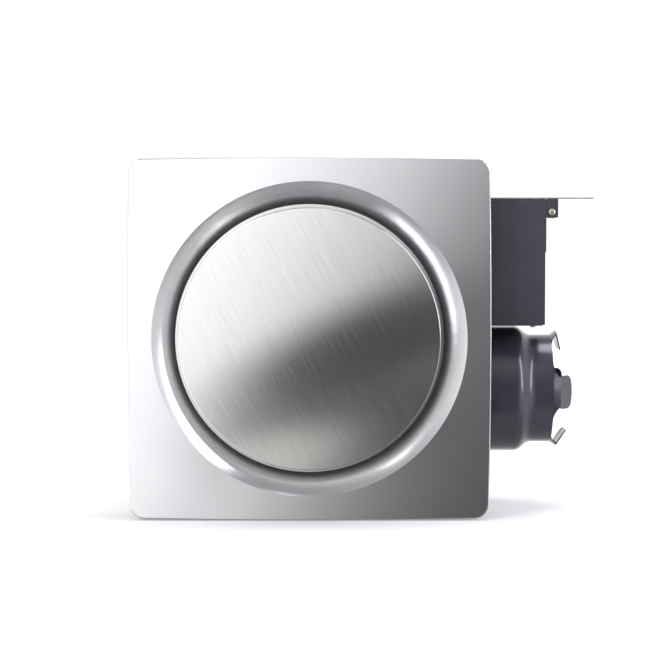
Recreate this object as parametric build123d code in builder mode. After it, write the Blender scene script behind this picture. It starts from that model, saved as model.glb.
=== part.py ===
from build123d import *
import os
from math import asin, atan2, cos, degrees, pi, radians, sin, sqrt

# A square-fascia centrifugal extractor fan for a bathroom ceiling or wall.
# X runs towards the duct, Y goes into the void behind the room surface, Z is up.
# The origin is on the impeller's axis, in the plane of the room surface.
os.makedirs("parts", exist_ok=True)

# ---------------------------------------------------------------- driving dimensions, mm
fascia_side = 410.0  # across the middles of two opposite sides
fascia_crown = 2.4  # how far each side bulges at its middle
fascia_corner_r = 17.0
fascia_depth = 19.0
fascia_wall = 1.5
fascia_edge_r = 1.6
seal_thickness = 2.0
seal_width = 8.0

recess_r = 178.0
recess_floor_r = 152.0
recess_depth = 18.0
recess_dish = 1.5  # how far the recess's sloping wall sags below a straight cone
intake_r = 122.0
intake_lip_r = 6.0
intake_lip = 9.0

disc_gap = 29.6  # open ring between the disc and the fascia
disc_skin = 0.8
disc_rim_r = 1.6
disc_rim = 6.0
backing_wall = 2.4
backing_rib = 4.0
backing_ribs = 12
post_circle_r = 134.0
post_r = 6.0

spring_z = 148.0  # each fascia spring's distance above or below the axis
spring_depth = 8.0  # from the room surface to the spring's own axis
spring_wire_r = 1.0
spring_coil_r = 3.2
spring_pitch = 2.1
spring_turns = 2
spring_leg = 78.0
spring_leg_bow = 8.5
spring_leg_lean = 34.0  # from Y, with the fascia closed
spring_pin_r = 1.9
bracket_wall = 0.8
bracket_width = 34.0
rivet_r = 1.5
rivet_pitch = 26.0
rivet_inset = 3.0  # from the spring's axis towards the fascia's middle

housing_side = 316.0
housing_depth = 212.0
housing_corner_r = 7.0
housing_flange = 14.0
sheet = 1.0
flange_hole_r = 2.5
flange_holes_x = 250.0
knockout_r = 11.0

inlet_depth = 28.0
plate = 1.2
throat_r = 78.0
bell_r = 14.0
throat_length = 28.0
spacer_r = 4.0
spacer_inset = 13.0
plate_bracket_x = 100.0

wheel_r = 100.0
wheel_inner_r = 83.0
wheel_front = 52.0
wheel_width = 106.0
blade_count = 32
blade_wall = 0.9
hub_r = 12.0
hub_flange_r = 36.0
hub_length = 28.0
shaft_r = 4.0

scroll_depth = 170.0  # from the room surface to the scroll's back plate
scroll_wall = 0.8
tongue_r = 6.0
tongue_x = 108.0
outlet_top = 7.0
outlet_bottom = -137.0

motor_r = 46.0
motor_length = 33.0
motor_wall = 1.2
motor_gap = 3.8  # height of the rubber bushes
motor_ear = 10.0  # how far the fixing ears stand out from the can
stator_bore_r = 24.0
stator_length = 20.0
air_gap = 0.5
bearing_r = 9.0
bearing_length = 6.0

box_width = 111.0
box_height = 144.0
box_depth = 80.0
box_start = 20.0  # from the room surface
cable_hole_r = 10.0
lead_r = 3.0
lead_hole_r = 6.0
grommet_lip = 1.5

bar_width = 30.0
bar_wall = 1.2
bar_overhang = 40.0  # of the upper bar, past its lug
bar_blind_end = 190.0
bar_hole_r = 2.5
bar_hole_pitch = 16.0
lug_gap = 1.3  # between the box and the bar's lug
lug_width = 13.0
lug_drop = 22.0

duct_large_r = 73.6
duct_small_r = 63.0
duct_wall = 2.0
duct_flange_side = 150.0
duct_flange_wall = 2.0
duct_gasket = 1.5
duct_large_end = 238.0
duct_small_start = 261.0
duct_small_end = 281.6
duct_screws = 132.0
tab_crest_x = 289.0
tab_crest_r = 67.8
tab_length = 22.4
tab_wall = 1.6
tab_root_half = 34.0
tab_neck_half = 17.0
tab_half = 19.2
tab_corner_r = 6.5

damper_x = 205.6
damper_pin_r = 2.0
flap_gap = 1.2  # round the flaps' edge
flap_wall = 1.2
knuckle_r = 3.6
knuckle_end = 9.3  # left for a spring past the knuckles

# Screw shanks: self-tapping screws, small screws, the spigot's screws and the terminals' screws.
screw_r = 1.9
small_screw_r = 1.5
duct_screw_r = 1.6
terminal_screw_r = 1.0
terminal_head_r = 1.7

# Clearances between pieces that fit into or over each other.
fit = 0.05
running = 0.1
loose = 0.3

# ---------------------------------------------------------------- worked out
front_y = -(fascia_depth + seal_thickness)
floor_y = front_y + recess_depth
floor_back_y = floor_y + fascia_wall
disc_r = recess_r - disc_gap
rivet_z = spring_z - rivet_inset
motor_ear_r = motor_r + motor_ear
flap_r = duct_large_r - duct_wall - flap_gap
knuckle = (flap_r - knuckle_end) / 2
half = housing_side / 2
inner_half = half - sheet
flange_holes_z = housing_side + housing_flange
inlet_back = inlet_depth + plate
duct_y = (inlet_back + scroll_depth) / 2
duct_z = (outlet_top + outlet_bottom) / 2
partition_back = scroll_depth + plate
motor_front = partition_back + motor_gap
motor_back = motor_front + plate + motor_length
wheel_back = wheel_front + wheel_width
box_right = half + box_width
box_bottom = half - box_height
box_back = box_start + box_depth
lug_start = box_right + lug_gap
bar_duct_end = lug_start + lug_width + bar_overhang
lug_screw_x = lug_start + lug_width / 2 - 0.5
lug_screw_z = half - lug_drop + 6.6
rear_boss_y = motor_back - motor_wall - bearing_length


def across(y):
    """Plane at depth y whose x is X and whose y is Z; a minus extrusion goes deeper."""
    return Plane.XZ.offset(-y)


def radial_plane(angle):
    """Plane through the duct's axis, its x along the duct and its y outwards at angle from Y."""
    turn = radians(angle)
    return Plane((0, duct_y, duct_z), x_dir=(1, 0, 0), z_dir=(0, -sin(turn), cos(turn)))


def crowned_square(inset):
    """The fascia's outline, drawn in by inset: crowned sides and rounded corners."""
    mid = fascia_side / 2 - inset
    corner = mid - fascia_crown
    with BuildSketch() as square:
        with BuildLine():
            ThreePointArc((corner, -corner), (mid, 0), (corner, corner))
            ThreePointArc((corner, corner), (0, mid), (-corner, corner))
            ThreePointArc((-corner, corner), (-mid, 0), (-corner, -corner))
            ThreePointArc((-corner, -corner), (0, -mid), (corner, -corner))
        make_face()
        fillet(square.vertices(), fascia_corner_r - inset)
    return square.sketch


def screws(label, seats, length, shank_r, head_r=None, head_h=None):
    """Cross-head pan screws, one on each seat plane, which faces the way the head points."""
    head_r = head_r or 2.0 * shank_r
    head_h = head_h or 0.62 * head_r
    slot = 0.28 * head_r
    flat_r = 0.62 * head_r
    with BuildPart() as group:
        for seat in seats:
            with BuildSketch(Plane(seat.origin, x_dir=seat.x_dir, z_dir=-seat.y_dir)):
                with BuildLine():
                    Polyline((0, head_h), (0, -length), (shank_r, -length), (shank_r, 0), (head_r, 0))
                    Line((head_r, 0), (head_r, 0.3 * head_h))
                    ThreePointArc((head_r, 0.3 * head_h), (0.87 * head_r, 0.78 * head_h), (flat_r, head_h))
                    Line((flat_r, head_h), (0, head_h))
                make_face()
            revolve(axis=Axis(seat.origin, seat.z_dir))
        for seat in seats:
            with BuildSketch(seat.offset(head_h)):
                Rectangle(1.14 * head_r, slot)
                Rectangle(slot, 1.14 * head_r)
            extrude(amount=-0.6 * head_h, mode=Mode.SUBTRACT)
    save(group.part, label)


def save(part, label):
    """Labels one finished piece and writes its file."""
    part.label = label
    export_step(part, f"parts/{label}.step")


# ================================================================ fascia
# One pressing: a skirted square pan with a round, concave recess that ends in the intake.
fascia_outline = crowned_square(0)
fascia_inside = crowned_square(fascia_wall)
lip_inside = crowned_square(fascia_wall + seal_width)
pan_back = front_y + fascia_wall
front_start = Vector(recess_r, front_y)
floor_start = Vector(recess_floor_r, floor_y)
recess_slope = front_start - floor_start
recess_arc_r = (recess_slope.length**2 / 4 + recess_dish**2) / (2 * recess_dish)
recess_inward = Vector(recess_slope.Y, -recess_slope.X) / recess_slope.length
recess_centre = (front_start + floor_start) / 2 + recess_inward * (recess_arc_r - recess_dish)


def recess_point(arc_r, y):
    """Point of the recess's arc of radius arc_r, at depth y."""
    return Vector(recess_centre.X + sqrt(arc_r**2 - (y - recess_centre.Y) ** 2), y)


def recess_middle(start, end):
    """Point halfway along the recess's arc between two of its points."""
    spoke = (start + end) / 2 - recess_centre
    return recess_centre + spoke / spoke.length * (start - recess_centre).length


back_start = recess_point(recess_arc_r + fascia_wall, pan_back)
back_end = recess_point(recess_arc_r + fascia_wall, floor_back_y)
join_r = back_start.X + 2.0
lip_end = floor_y + intake_lip

with BuildPart() as fascia_panel:
    with BuildSketch(across(front_y)):
        add(fascia_outline)
    extrude(amount=-fascia_depth)
    fillet(fascia_panel.faces().sort_by(Axis.Y)[0].edges(), fascia_edge_r)
    with BuildSketch(across(pan_back)):
        add(fascia_inside)
    extrude(amount=-(fascia_depth - 2 * fascia_wall), mode=Mode.SUBTRACT)
    with BuildSketch(across(-seal_thickness - fascia_wall)):
        add(lip_inside)
    extrude(amount=-fascia_wall, mode=Mode.SUBTRACT)
    with BuildSketch(across(front_y)):
        Circle(back_start.X + 1.0)
    extrude(amount=-fascia_wall, mode=Mode.SUBTRACT)
    with BuildSketch(Plane.XY):
        with BuildLine():
            ThreePointArc(front_start, recess_middle(front_start, floor_start), floor_start)
            Line(floor_start, (intake_r + intake_lip_r, floor_y))
            RadiusArc((intake_r + intake_lip_r, floor_y), (intake_r, floor_y + intake_lip_r), intake_lip_r)
            Line((intake_r, floor_y + intake_lip_r), (intake_r, lip_end))
            Line((intake_r, lip_end), (intake_r + fascia_wall, lip_end))
            Line((intake_r + fascia_wall, lip_end), (intake_r + fascia_wall, floor_y + intake_lip_r))
            RadiusArc(
                (intake_r + fascia_wall, floor_y + intake_lip_r),
                (intake_r + intake_lip_r, floor_back_y),
                -(intake_lip_r - fascia_wall),
            )
            Line((intake_r + intake_lip_r, floor_back_y), back_end)
            ThreePointArc(back_end, recess_middle(back_end, back_start), back_start)
            Polyline(back_start, (join_r, pan_back), (join_r, front_y), front_start)
        make_face()
    revolve(axis=Axis.Y)
    with BuildSketch(across(floor_y)):
        with PolarLocations(post_circle_r, 4, start_angle=45):
            Circle(screw_r + running)
        for side in (1, -1):
            with Locations((0, side * rivet_z)):
                with GridLocations(rivet_pitch, 0, 2, 1):
                    Circle(rivet_r + fit)
    extrude(amount=-fascia_wall, mode=Mode.SUBTRACT)
save(fascia_panel.part, "fascia_panel")

# The polished disc that hides the intake, and the moulding that carries it on four posts.
with BuildPart() as centre_disc:
    with BuildSketch(Plane.XY):
        with BuildLine():
            Line((0, front_y), (disc_r - disc_rim_r, front_y))
            RadiusArc((disc_r - disc_rim_r, front_y), (disc_r, front_y + disc_rim_r), -disc_rim_r)
            Polyline(
                (disc_r, front_y + disc_rim_r),
                (disc_r, front_y + disc_rim),
                (disc_r - disc_skin, front_y + disc_rim),
                (disc_r - disc_skin, front_y + disc_rim_r),
            )
            RadiusArc(
                (disc_r - disc_skin, front_y + disc_rim_r),
                (disc_r - disc_rim_r, front_y + disc_skin),
                disc_rim_r - disc_skin,
            )
            Polyline(
                (disc_r - disc_rim_r, front_y + disc_skin),
                (0, front_y + disc_skin),
                (0, front_y),
            )
        make_face()
    revolve(axis=Axis.Y)
save(centre_disc.part, "centre_disc")

backing_r = disc_r - disc_rim_r - loose
backing_front = front_y + disc_skin
backing_back = backing_front + backing_wall
with BuildPart() as disc_backing:
    with BuildSketch(across(backing_front)):
        Circle(backing_r)
    extrude(amount=-backing_wall)
    with BuildSketch(across(backing_back)):
        with PolarLocations((backing_r + hub_r) / 2, backing_ribs):
            Rectangle(backing_r - hub_r - 6, 1.4)
        Circle(hub_r)
        Circle(backing_r - 2)
        Circle(backing_r - 4, mode=Mode.SUBTRACT)
    extrude(amount=-backing_rib)
    with BuildSketch(across(backing_back)):
        with PolarLocations(post_circle_r, 4, start_angle=45):
            Circle(post_r)
    extrude(amount=backing_back - floor_y)
    with BuildSketch(across(floor_y)):
        with PolarLocations(post_circle_r, 4, start_angle=45):
            Circle(screw_r + fit)
    extrude(amount=12, mode=Mode.SUBTRACT)
save(disc_backing.part, "disc_backing")

post_seats = [
    Plane(
        (post_circle_r * cos(radians(turn)), floor_back_y, post_circle_r * sin(radians(turn))),
        x_dir=(1, 0, 0),
        z_dir=(0, 1, 0),
    )
    for turn in (45, 135, 225, 315)
]
screws("disc_screws", post_seats, 11.0, screw_r)

# Foam strip that seals the skirt's return lip to the room surface.
seal_outline = crowned_square(fascia_wall)
with BuildPart() as foam_seal:
    with BuildSketch(across(-seal_thickness)):
        add(seal_outline)
        add(lip_inside, mode=Mode.SUBTRACT)
    extrude(amount=-seal_thickness)
save(foam_seal.part, "foam_seal")

# ================================================================ fascia springs
# Two torsion springs, above and below, let the fascia be pulled down and snap back.
# Each coil turns on the pin of a bracket riveted to the back of the recess.
coil_height = spring_turns * spring_pitch
ring_offset = coil_height / 2 + 2 * spring_wire_r + loose + 0.1
ear_offset = ring_offset + spring_wire_r + 0.5
plate_back_y = floor_back_y + bracket_wall

with BuildPart() as spring_brackets:
    for side in (1, -1):
        centre = side * spring_z
        with BuildSketch(across(floor_back_y)):
            with Locations((0, side * rivet_z)):
                RectangleRounded(bracket_width, 11.0, 2.0)
                with GridLocations(rivet_pitch, 0, 2, 1):
                    Circle(rivet_r + fit, mode=Mode.SUBTRACT)
        extrude(amount=-bracket_wall)
        for end in (1, -1):
            ear_z = centre + end * ear_offset - (bracket_wall if end < 0 else 0)
            with BuildSketch(Plane.XY.offset(ear_z)):
                with Locations((0, (floor_back_y + spring_depth) / 2)):
                    Rectangle(9.0, spring_depth - floor_back_y)
                with Locations((0, spring_depth)):
                    Circle(4.5)
            extrude(amount=bracket_wall)
        with BuildSketch(Plane.XY.offset(centre - ear_offset - bracket_wall)):
            with Locations((0, spring_depth)):
                Circle(spring_pin_r)
        extrude(amount=2 * (ear_offset + bracket_wall))
        # The base's tongues run under both ears, which are folded up from them.
        with BuildSketch(across(floor_back_y)):
            with Locations((0, centre)):
                Rectangle(9.0, 2 * (ear_offset + bracket_wall))
        extrude(amount=-bracket_wall)
save(spring_brackets.part, "spring_brackets")

with BuildPart() as bracket_rivets:
    for side in (1, -1):
        for x in (-rivet_pitch / 2, rivet_pitch / 2):
            seat = Vector(x, 0, side * rivet_z)
            with BuildSketch(Plane(seat, x_dir=(1, 0, 0), z_dir=(0, 0, 1))):
                with BuildLine():
                    Polyline((0, floor_y - 0.9), (2.6, floor_y - 0.5), (2.6, floor_y), (rivet_r, floor_y))
                    Polyline((rivet_r, floor_y), (rivet_r, plate_back_y), (2.4, plate_back_y))
                    Polyline((2.4, plate_back_y), (2.0, plate_back_y + 0.8), (0, plate_back_y + 0.8))
                    Line((0, plate_back_y + 0.8), (0, floor_y - 0.9))
                make_face()
            revolve(axis=Axis(seat, (0, 1, 0)))
save(bracket_rivets.part, "bracket_rivets")

with BuildPart() as spring_coils:
    for side in (1, -1):
        base = side * spring_z - coil_height / 2
        with BuildLine(Plane((0, spring_depth, base))):
            turns = Helix(pitch=spring_pitch, height=coil_height, radius=spring_coil_r)
        with BuildSketch(Plane(turns ^ 0)):
            Circle(spring_wire_r)
        sweep(path=turns)
save(spring_coils.part, "spring_coils")


def spring_legs(label, hand):
    """The legs on one side: hand is 1 for the duct side, -1 for the blind side."""
    lean = radians(spring_leg_lean)
    with BuildPart() as legs:
        for side in (1, -1):
            eye = Vector(0, spring_depth, side * spring_z + hand * ring_offset)
            frame = Plane(eye, x_dir=(hand * cos(lean), -sin(lean), 0), z_dir=(0, 0, hand))
            with BuildLine(frame):
                leg = ThreePointArc(
                    (spring_coil_r, 0),
                    (spring_coil_r - spring_leg_bow, spring_leg / 2),
                    (spring_coil_r, spring_leg),
                )
            with BuildSketch(Plane(leg ^ 0)):
                Circle(spring_wire_r)
            sweep(path=leg)
            with BuildSketch(Plane.XY.offset(eye.Z - spring_wire_r)):
                with Locations((0, spring_depth)):
                    Circle(spring_coil_r + spring_wire_r)
                    Circle(spring_coil_r - spring_wire_r, mode=Mode.SUBTRACT)
            extrude(amount=2 * spring_wire_r)
    save(legs.part, label)


spring_legs("spring_legs_duct_side", 1)
spring_legs("spring_legs_blind_side", -1)

# ================================================================ housing
# A deep-drawn steel box, open to the room, with a flange that screws to the surface.
slot_near = 6.4
slot_far = 14.4
lead_z = 85.0
lead_y = 60.0
lead_x = 140.0
bar_screw_x = 125.0
bar_y = box_start + bar_width / 2
box_screw_places = [(36.0, 26.0), (88.0, 26.0), (62.0, 140.0)]  # Y and Z
bracket_leg = 12.0
bracket_side = 18.0
bracket_reach = 34.0
bracket_screw_y = box_start + bar_width + 7.0  # clear of the joist bars

with BuildPart() as housing_shell:
    with BuildSketch(across(0)):
        RectangleRounded(housing_side, housing_side, housing_corner_r)
    extrude(amount=-housing_depth)
    fillet(housing_shell.faces().sort_by(Axis.Y)[-1].edges(), 3.0)
    with BuildSketch(across(0)):
        RectangleRounded(housing_side + 2 * housing_flange, housing_side + 2 * housing_flange, 10.0)
        with GridLocations(flange_holes_x, flange_holes_z, 2, 2):
            Circle(flange_hole_r, mode=Mode.SUBTRACT)
    extrude(amount=-sheet)
    with BuildSketch(across(0)):
        RectangleRounded(2 * inner_half, 2 * inner_half, housing_corner_r - sheet)
    extrude(amount=-(housing_depth - sheet), mode=Mode.SUBTRACT)
    with BuildSketch(Plane.YZ.offset(half)):
        with Locations((duct_y, duct_z)):
            Circle(duct_large_r - duct_wall)
            with GridLocations(duct_screws, duct_screws, 2, 2):
                Circle(duct_screw_r + fit)
        with Locations((lead_y, lead_z)):
            Circle(lead_hole_r)
        with Locations(*box_screw_places):
            Circle(screw_r + fit)
    extrude(amount=-sheet, mode=Mode.SUBTRACT)
    for z, out in ((half, -sheet), (-inner_half, -sheet)):
        with BuildSketch(Plane.XY.offset(z)):
            with Locations((-bar_screw_x, bar_y), (bar_screw_x, bar_y)):
                Circle(screw_r + fit)
            with Locations((-plate_bracket_x, bracket_screw_y), (plate_bracket_x, bracket_screw_y)):
                Circle(small_screw_r + fit)
        extrude(amount=out, mode=Mode.SUBTRACT)
    # Part-cut knockouts for supply cables, on the blind side and the top.
    with BuildSketch(Plane.YZ.offset(-half)):
        with Locations((70, 110), (70, 70), (150, -110)):
            Circle(knockout_r)
            Circle(knockout_r - 1.2, mode=Mode.SUBTRACT)
    extrude(amount=0.4, mode=Mode.SUBTRACT)
    # Two pressed stiffening ribs on the back.
    with BuildSketch(across(housing_depth)):
        with GridLocations(0, 190, 1, 2):
            SlotOverall(220, 12)
    extrude(amount=-1.6, taper=30)
save(housing_shell.part, "housing_shell")

# Angle brackets inside the housing, two above and two below, that carry the inlet plate.
with BuildPart() as inlet_brackets:
    for side in (1, -1):
        for x in (-plate_bracket_x, plate_bracket_x):
            with BuildSketch(across(inlet_back)):
                with Locations((x, side * (inner_half - bracket_leg / 2))):
                    Rectangle(bracket_side, bracket_leg)
                    Circle(small_screw_r + fit, mode=Mode.SUBTRACT)
            extrude(amount=-plate)
            with BuildSketch(across(inlet_back)):
                with Locations((x, side * (inner_half - plate / 2))):
                    Rectangle(bracket_side, plate)
            extrude(amount=-bracket_reach)
            with BuildSketch(Plane.XY.offset(side * inner_half)):
                with Locations((x, bracket_screw_y)):
                    Circle(small_screw_r + fit)
            extrude(amount=-side * plate, mode=Mode.SUBTRACT)
save(inlet_brackets.part, "inlet_brackets")

bracket_seats = [
    Plane((x, bracket_screw_y, side * half), x_dir=(1, 0, 0), z_dir=(0, 0, side))
    for side in (1, -1)
    for x in (-plate_bracket_x, plate_bracket_x)
]

# The pressed inlet plate, with the bell mouth that leads air into the wheel.
bracket_hole_z = inner_half - bracket_leg / 2
spacer_place = inner_half - spacer_inset
plate_side = 2 * (inner_half - loose)
throat_end = inlet_depth + throat_length
with BuildPart() as inlet_plate:
    with BuildSketch(across(inlet_depth)):
        RectangleRounded(plate_side, plate_side, housing_corner_r - sheet)
        Circle(throat_r + bell_r, mode=Mode.SUBTRACT)
        for side in (1, -1):
            for hand in (1, -1):
                with Locations((hand * (slot_near + slot_far) / 2, side * spring_z + hand * ring_offset)):
                    Rectangle(slot_far - slot_near, 2 * (spring_wire_r + loose), mode=Mode.SUBTRACT)
        with GridLocations(2 * spacer_place, 2 * spacer_place, 2, 2):
            Circle(screw_r + fit, mode=Mode.SUBTRACT)
        with GridLocations(2 * plate_bracket_x, 2 * bracket_hole_z, 2, 2):
            Circle(small_screw_r + fit, mode=Mode.SUBTRACT)
    extrude(amount=-plate)
    with BuildSketch(Plane.XY):
        with BuildLine():
            Line((throat_r + bell_r + 1, inlet_depth), (throat_r + bell_r, inlet_depth))
            RadiusArc((throat_r + bell_r, inlet_depth), (throat_r, inlet_depth + bell_r), bell_r)
            Polyline(
                (throat_r, inlet_depth + bell_r),
                (throat_r, throat_end),
                (throat_r + plate, throat_end),
                (throat_r + plate, inlet_depth + bell_r),
            )
            RadiusArc(
                (throat_r + plate, inlet_depth + bell_r), (throat_r + bell_r, inlet_back), plate - bell_r
            )
            Polyline(
                (throat_r + bell_r, inlet_back),
                (throat_r + bell_r + 1, inlet_back),
                (throat_r + bell_r + 1, inlet_depth),
            )
        make_face()
    revolve(axis=Axis.Y)
save(inlet_plate.part, "inlet_plate")

plate_seats = [
    Plane((x, inlet_depth, z), x_dir=(1, 0, 0), z_dir=(0, -1, 0))
    for x in (-plate_bracket_x, plate_bracket_x)
    for z in (-bracket_hole_z, bracket_hole_z)
]
screws("inlet_screws", bracket_seats + plate_seats, 6.0, small_screw_r)

# ================================================================ scroll
# One bent strip makes the spiral and the outlet; the back plate closes it and holds the motor.
start_turn = atan2(outlet_top + tongue_r, tongue_x)
start_r = sqrt(tongue_x**2 + (outlet_top + tongue_r) ** 2)


def spiral_point(degree):
    """Point of the spiral at an angle from X: its radius grows evenly to the outlet's floor."""
    share = (radians(degree) - start_turn) / (1.5 * pi - start_turn)
    reach = start_r + (-outlet_bottom - start_r) * share
    return (reach * cos(radians(degree)), reach * sin(radians(degree)))


with BuildPart() as scroll_strip:
    with BuildSketch(across(inlet_back)):
        with BuildLine():
            Line((inner_half - loose, outlet_top), (tongue_x + tongue_r, outlet_top))
            JernArc((tongue_x + tongue_r, outlet_top), (-1, 0), tongue_r, -90)
            Spline(
                (tongue_x, outlet_top + tongue_r),
                *[spiral_point(degree) for degree in range(45, 270, 45)],
                (0, outlet_bottom),
                tangents=((0, 1), (1, 0)),
            )
            Line((0, outlet_bottom), (inner_half - loose, outlet_bottom))
        trace(line_width=scroll_wall)
    extrude(amount=-(scroll_depth - inlet_back))
save(scroll_strip.part, "scroll_strip")

motor_hole_r = bearing_r + 6.0
with BuildPart() as motor_plate:
    with BuildSketch(across(scroll_depth)):
        RectangleRounded(plate_side, plate_side, housing_corner_r - sheet)
        Circle(motor_hole_r, mode=Mode.SUBTRACT)
        with PolarLocations((motor_r + motor_ear_r) / 2, 3, start_angle=90):
            Circle(screw_r + fit, mode=Mode.SUBTRACT)
        with GridLocations(2 * spacer_place, 2 * spacer_place, 2, 2):
            Circle(screw_r + fit, mode=Mode.SUBTRACT)
        with Locations((lead_x, lead_z)):
            Circle(lead_hole_r, mode=Mode.SUBTRACT)
    extrude(amount=-plate)
save(motor_plate.part, "motor_plate")

with BuildPart() as scroll_spacers:
    with BuildSketch(across(inlet_back)):
        with GridLocations(2 * spacer_place, 2 * spacer_place, 2, 2):
            Circle(spacer_r)
            Circle(screw_r + fit, mode=Mode.SUBTRACT)
    extrude(amount=-(scroll_depth - inlet_back))
save(scroll_spacers.part, "scroll_spacers")

spacer_seats = [
    Plane((x, y, z), x_dir=(1, 0, 0), z_dir=(0, facing, 0))
    for y, facing in ((inlet_depth, -1), (partition_back, 1))
    for x in (-spacer_place, spacer_place)
    for z in (-spacer_place, spacer_place)
]
screws("spacer_screws", spacer_seats, 10.0, screw_r)

# ================================================================ motor
motor_cap_back = motor_front + plate
ear_circle_r = (motor_r + motor_ear_r) / 2
with BuildPart() as motor_front_cap:
    with BuildSketch(across(motor_front)):
        Circle(motor_r)
        with PolarLocations(ear_circle_r, 3, start_angle=90):
            RectangleRounded(14, 14, 3)
        with PolarLocations(ear_circle_r, 3, start_angle=90):
            Circle(screw_r + fit, mode=Mode.SUBTRACT)
        Circle(bearing_r + fit, mode=Mode.SUBTRACT)
    extrude(amount=-plate)
    with BuildSketch(across(motor_cap_back)):
        Circle(bearing_r + 2)
        Circle(bearing_r + fit, mode=Mode.SUBTRACT)
    extrude(amount=bearing_length)
save(motor_front_cap.part, "motor_front_cap")

with BuildPart() as motor_can:
    with BuildSketch(across(motor_cap_back)):
        Circle(motor_r)
    extrude(amount=-motor_length)
    fillet(motor_can.faces().sort_by(Axis.Y)[-1].edges(), 3.0)
    with BuildSketch(across(motor_cap_back)):
        Circle(motor_r - motor_wall)
    extrude(amount=-(motor_length - motor_wall), mode=Mode.SUBTRACT)
    with BuildSketch(across(rear_boss_y)):
        Circle(bearing_r + 2)
        Circle(bearing_r + fit, mode=Mode.SUBTRACT)
    extrude(amount=-bearing_length)
    # Cooling slots round the can's closed end.
    with BuildSketch(across(motor_back - motor_wall)):
        with PolarLocations(motor_r - 14, 12):
            SlotOverall(14, 3.2)
    extrude(amount=-motor_wall, mode=Mode.SUBTRACT)
save(motor_can.part, "motor_can")

stator_front = (motor_cap_back + rear_boss_y - stator_length) / 2 + 2
winding_depth = 4.0
with BuildPart() as stator_core:
    with BuildSketch(across(stator_front)):
        Circle(motor_r - motor_wall)
        Circle(stator_bore_r, mode=Mode.SUBTRACT)
        with PolarLocations(stator_bore_r + 7, 16):
            SlotOverall(11, 4, mode=Mode.SUBTRACT)
    extrude(amount=-stator_length)
save(stator_core.part, "stator_core")

with BuildPart() as stator_windings:
    for y in (stator_front - winding_depth, stator_front + stator_length):
        with BuildSketch(across(y)):
            Circle(motor_r - motor_wall - 4)
            Circle(stator_bore_r + 2, mode=Mode.SUBTRACT)
        extrude(amount=-winding_depth)
save(stator_windings.part, "stator_windings")

bearing_starts = (motor_cap_back - bearing_length, rear_boss_y)
with BuildPart() as motor_bearings:
    for y in bearing_starts:
        with BuildSketch(across(y)):
            Circle(bearing_r)
            Circle(shaft_r + fit, mode=Mode.SUBTRACT)
        extrude(amount=-bearing_length)
save(motor_bearings.part, "motor_bearings")

with BuildPart() as motor_bushes:
    with BuildSketch(across(partition_back)):
        with PolarLocations(ear_circle_r, 3, start_angle=90):
            Circle(5.5)
            Circle(screw_r + fit, mode=Mode.SUBTRACT)
    extrude(amount=-motor_gap)
save(motor_bushes.part, "motor_bushes")

motor_seats = [
    Plane(
        (ear_circle_r * cos(radians(turn)), scroll_depth, ear_circle_r * sin(radians(turn))),
        x_dir=(1, 0, 0),
        z_dir=(0, -1, 0),
    )
    for turn in (90, 210, 330)
]
screws("motor_screws", motor_seats, 10.0, screw_r)

# ================================================================ wheel, on the motor's shaft
hub_front = wheel_back - hub_length
nut_length = 6.0
shaft_front = hub_front - nut_length - 3
with BuildPart() as motor_shaft:
    with BuildSketch(across(shaft_front)):
        Circle(shaft_r)
    extrude(amount=-(motor_back - motor_wall - 0.5 - shaft_front))
    chamfer(motor_shaft.edges().group_by(Axis.Y)[0], 0.6)
save(motor_shaft.part, "motor_shaft")

with BuildPart() as motor_rotor:
    with BuildSketch(across(stator_front)):
        Circle(stator_bore_r - air_gap)
        Circle(shaft_r + fit, mode=Mode.SUBTRACT)
    extrude(amount=-stator_length)
save(motor_rotor.part, "motor_rotor")

blade_start = Vector(wheel_inner_r, 0)
blade_end = Vector(wheel_r * cos(radians(9)), wheel_r * sin(radians(9)))
with BuildSketch() as blade:
    with BuildLine():
        RadiusArc(blade_start, blade_end, 16.0)
    trace(line_width=blade_wall)
with BuildPart() as impeller_blades:
    with BuildSketch(across(wheel_front + 2)):
        with PolarLocations(0, blade_count):
            add(blade.sketch)
    extrude(amount=-(wheel_width - 2))
save(impeller_blades.part, "impeller_blades")

rim_r = wheel_r + 2.0
with BuildPart() as impeller_shroud:
    with BuildSketch(across(wheel_front)):
        Circle(rim_r)
        Circle(wheel_inner_r - 0.5, mode=Mode.SUBTRACT)
    extrude(amount=-2.0)
save(impeller_shroud.part, "impeller_shroud")

with BuildPart() as impeller_back:
    with BuildSketch(across(wheel_back)):
        Circle(rim_r)
        Circle(shaft_r + running, mode=Mode.SUBTRACT)
    extrude(amount=-1.5)
save(impeller_back.part, "impeller_back")

with BuildPart() as impeller_hub:
    with BuildSketch(across(wheel_back)):
        Circle(hub_flange_r)
    extrude(amount=1.5)
    with BuildSketch(across(wheel_back)):
        Circle(hub_r)
    extrude(amount=hub_length)
    with BuildSketch(across(wheel_back)):
        Circle(shaft_r + fit)
    extrude(amount=hub_length, mode=Mode.SUBTRACT)
    with BuildSketch(Plane.YZ.offset(hub_r)):
        with Locations((hub_front + 10, 0)):
            Circle(2.5 + fit)
    extrude(amount=-(hub_r - shaft_r), mode=Mode.SUBTRACT)
save(impeller_hub.part, "impeller_hub")

with BuildPart() as hub_grub_screw:
    with BuildSketch(Plane.YZ.offset(hub_r - 1)):
        with Locations((hub_front + 10, 0)):
            Circle(2.5)
    extrude(amount=-(hub_r - 1 - shaft_r - running))
    with BuildSketch(Plane.YZ.offset(hub_r - 1)):
        with Locations((hub_front + 10, 0)):
            RegularPolygon(1.4, 6)
    extrude(amount=-2.5, mode=Mode.SUBTRACT)
save(hub_grub_screw.part, "hub_grub_screw")

with BuildPart() as shaft_nut:
    with BuildSketch(across(hub_front)):
        RegularPolygon(6.5, 6, major_radius=False)
        Circle(shaft_r + fit, mode=Mode.SUBTRACT)
    extrude(amount=nut_length)
save(shaft_nut.part, "shaft_nut")

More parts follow.
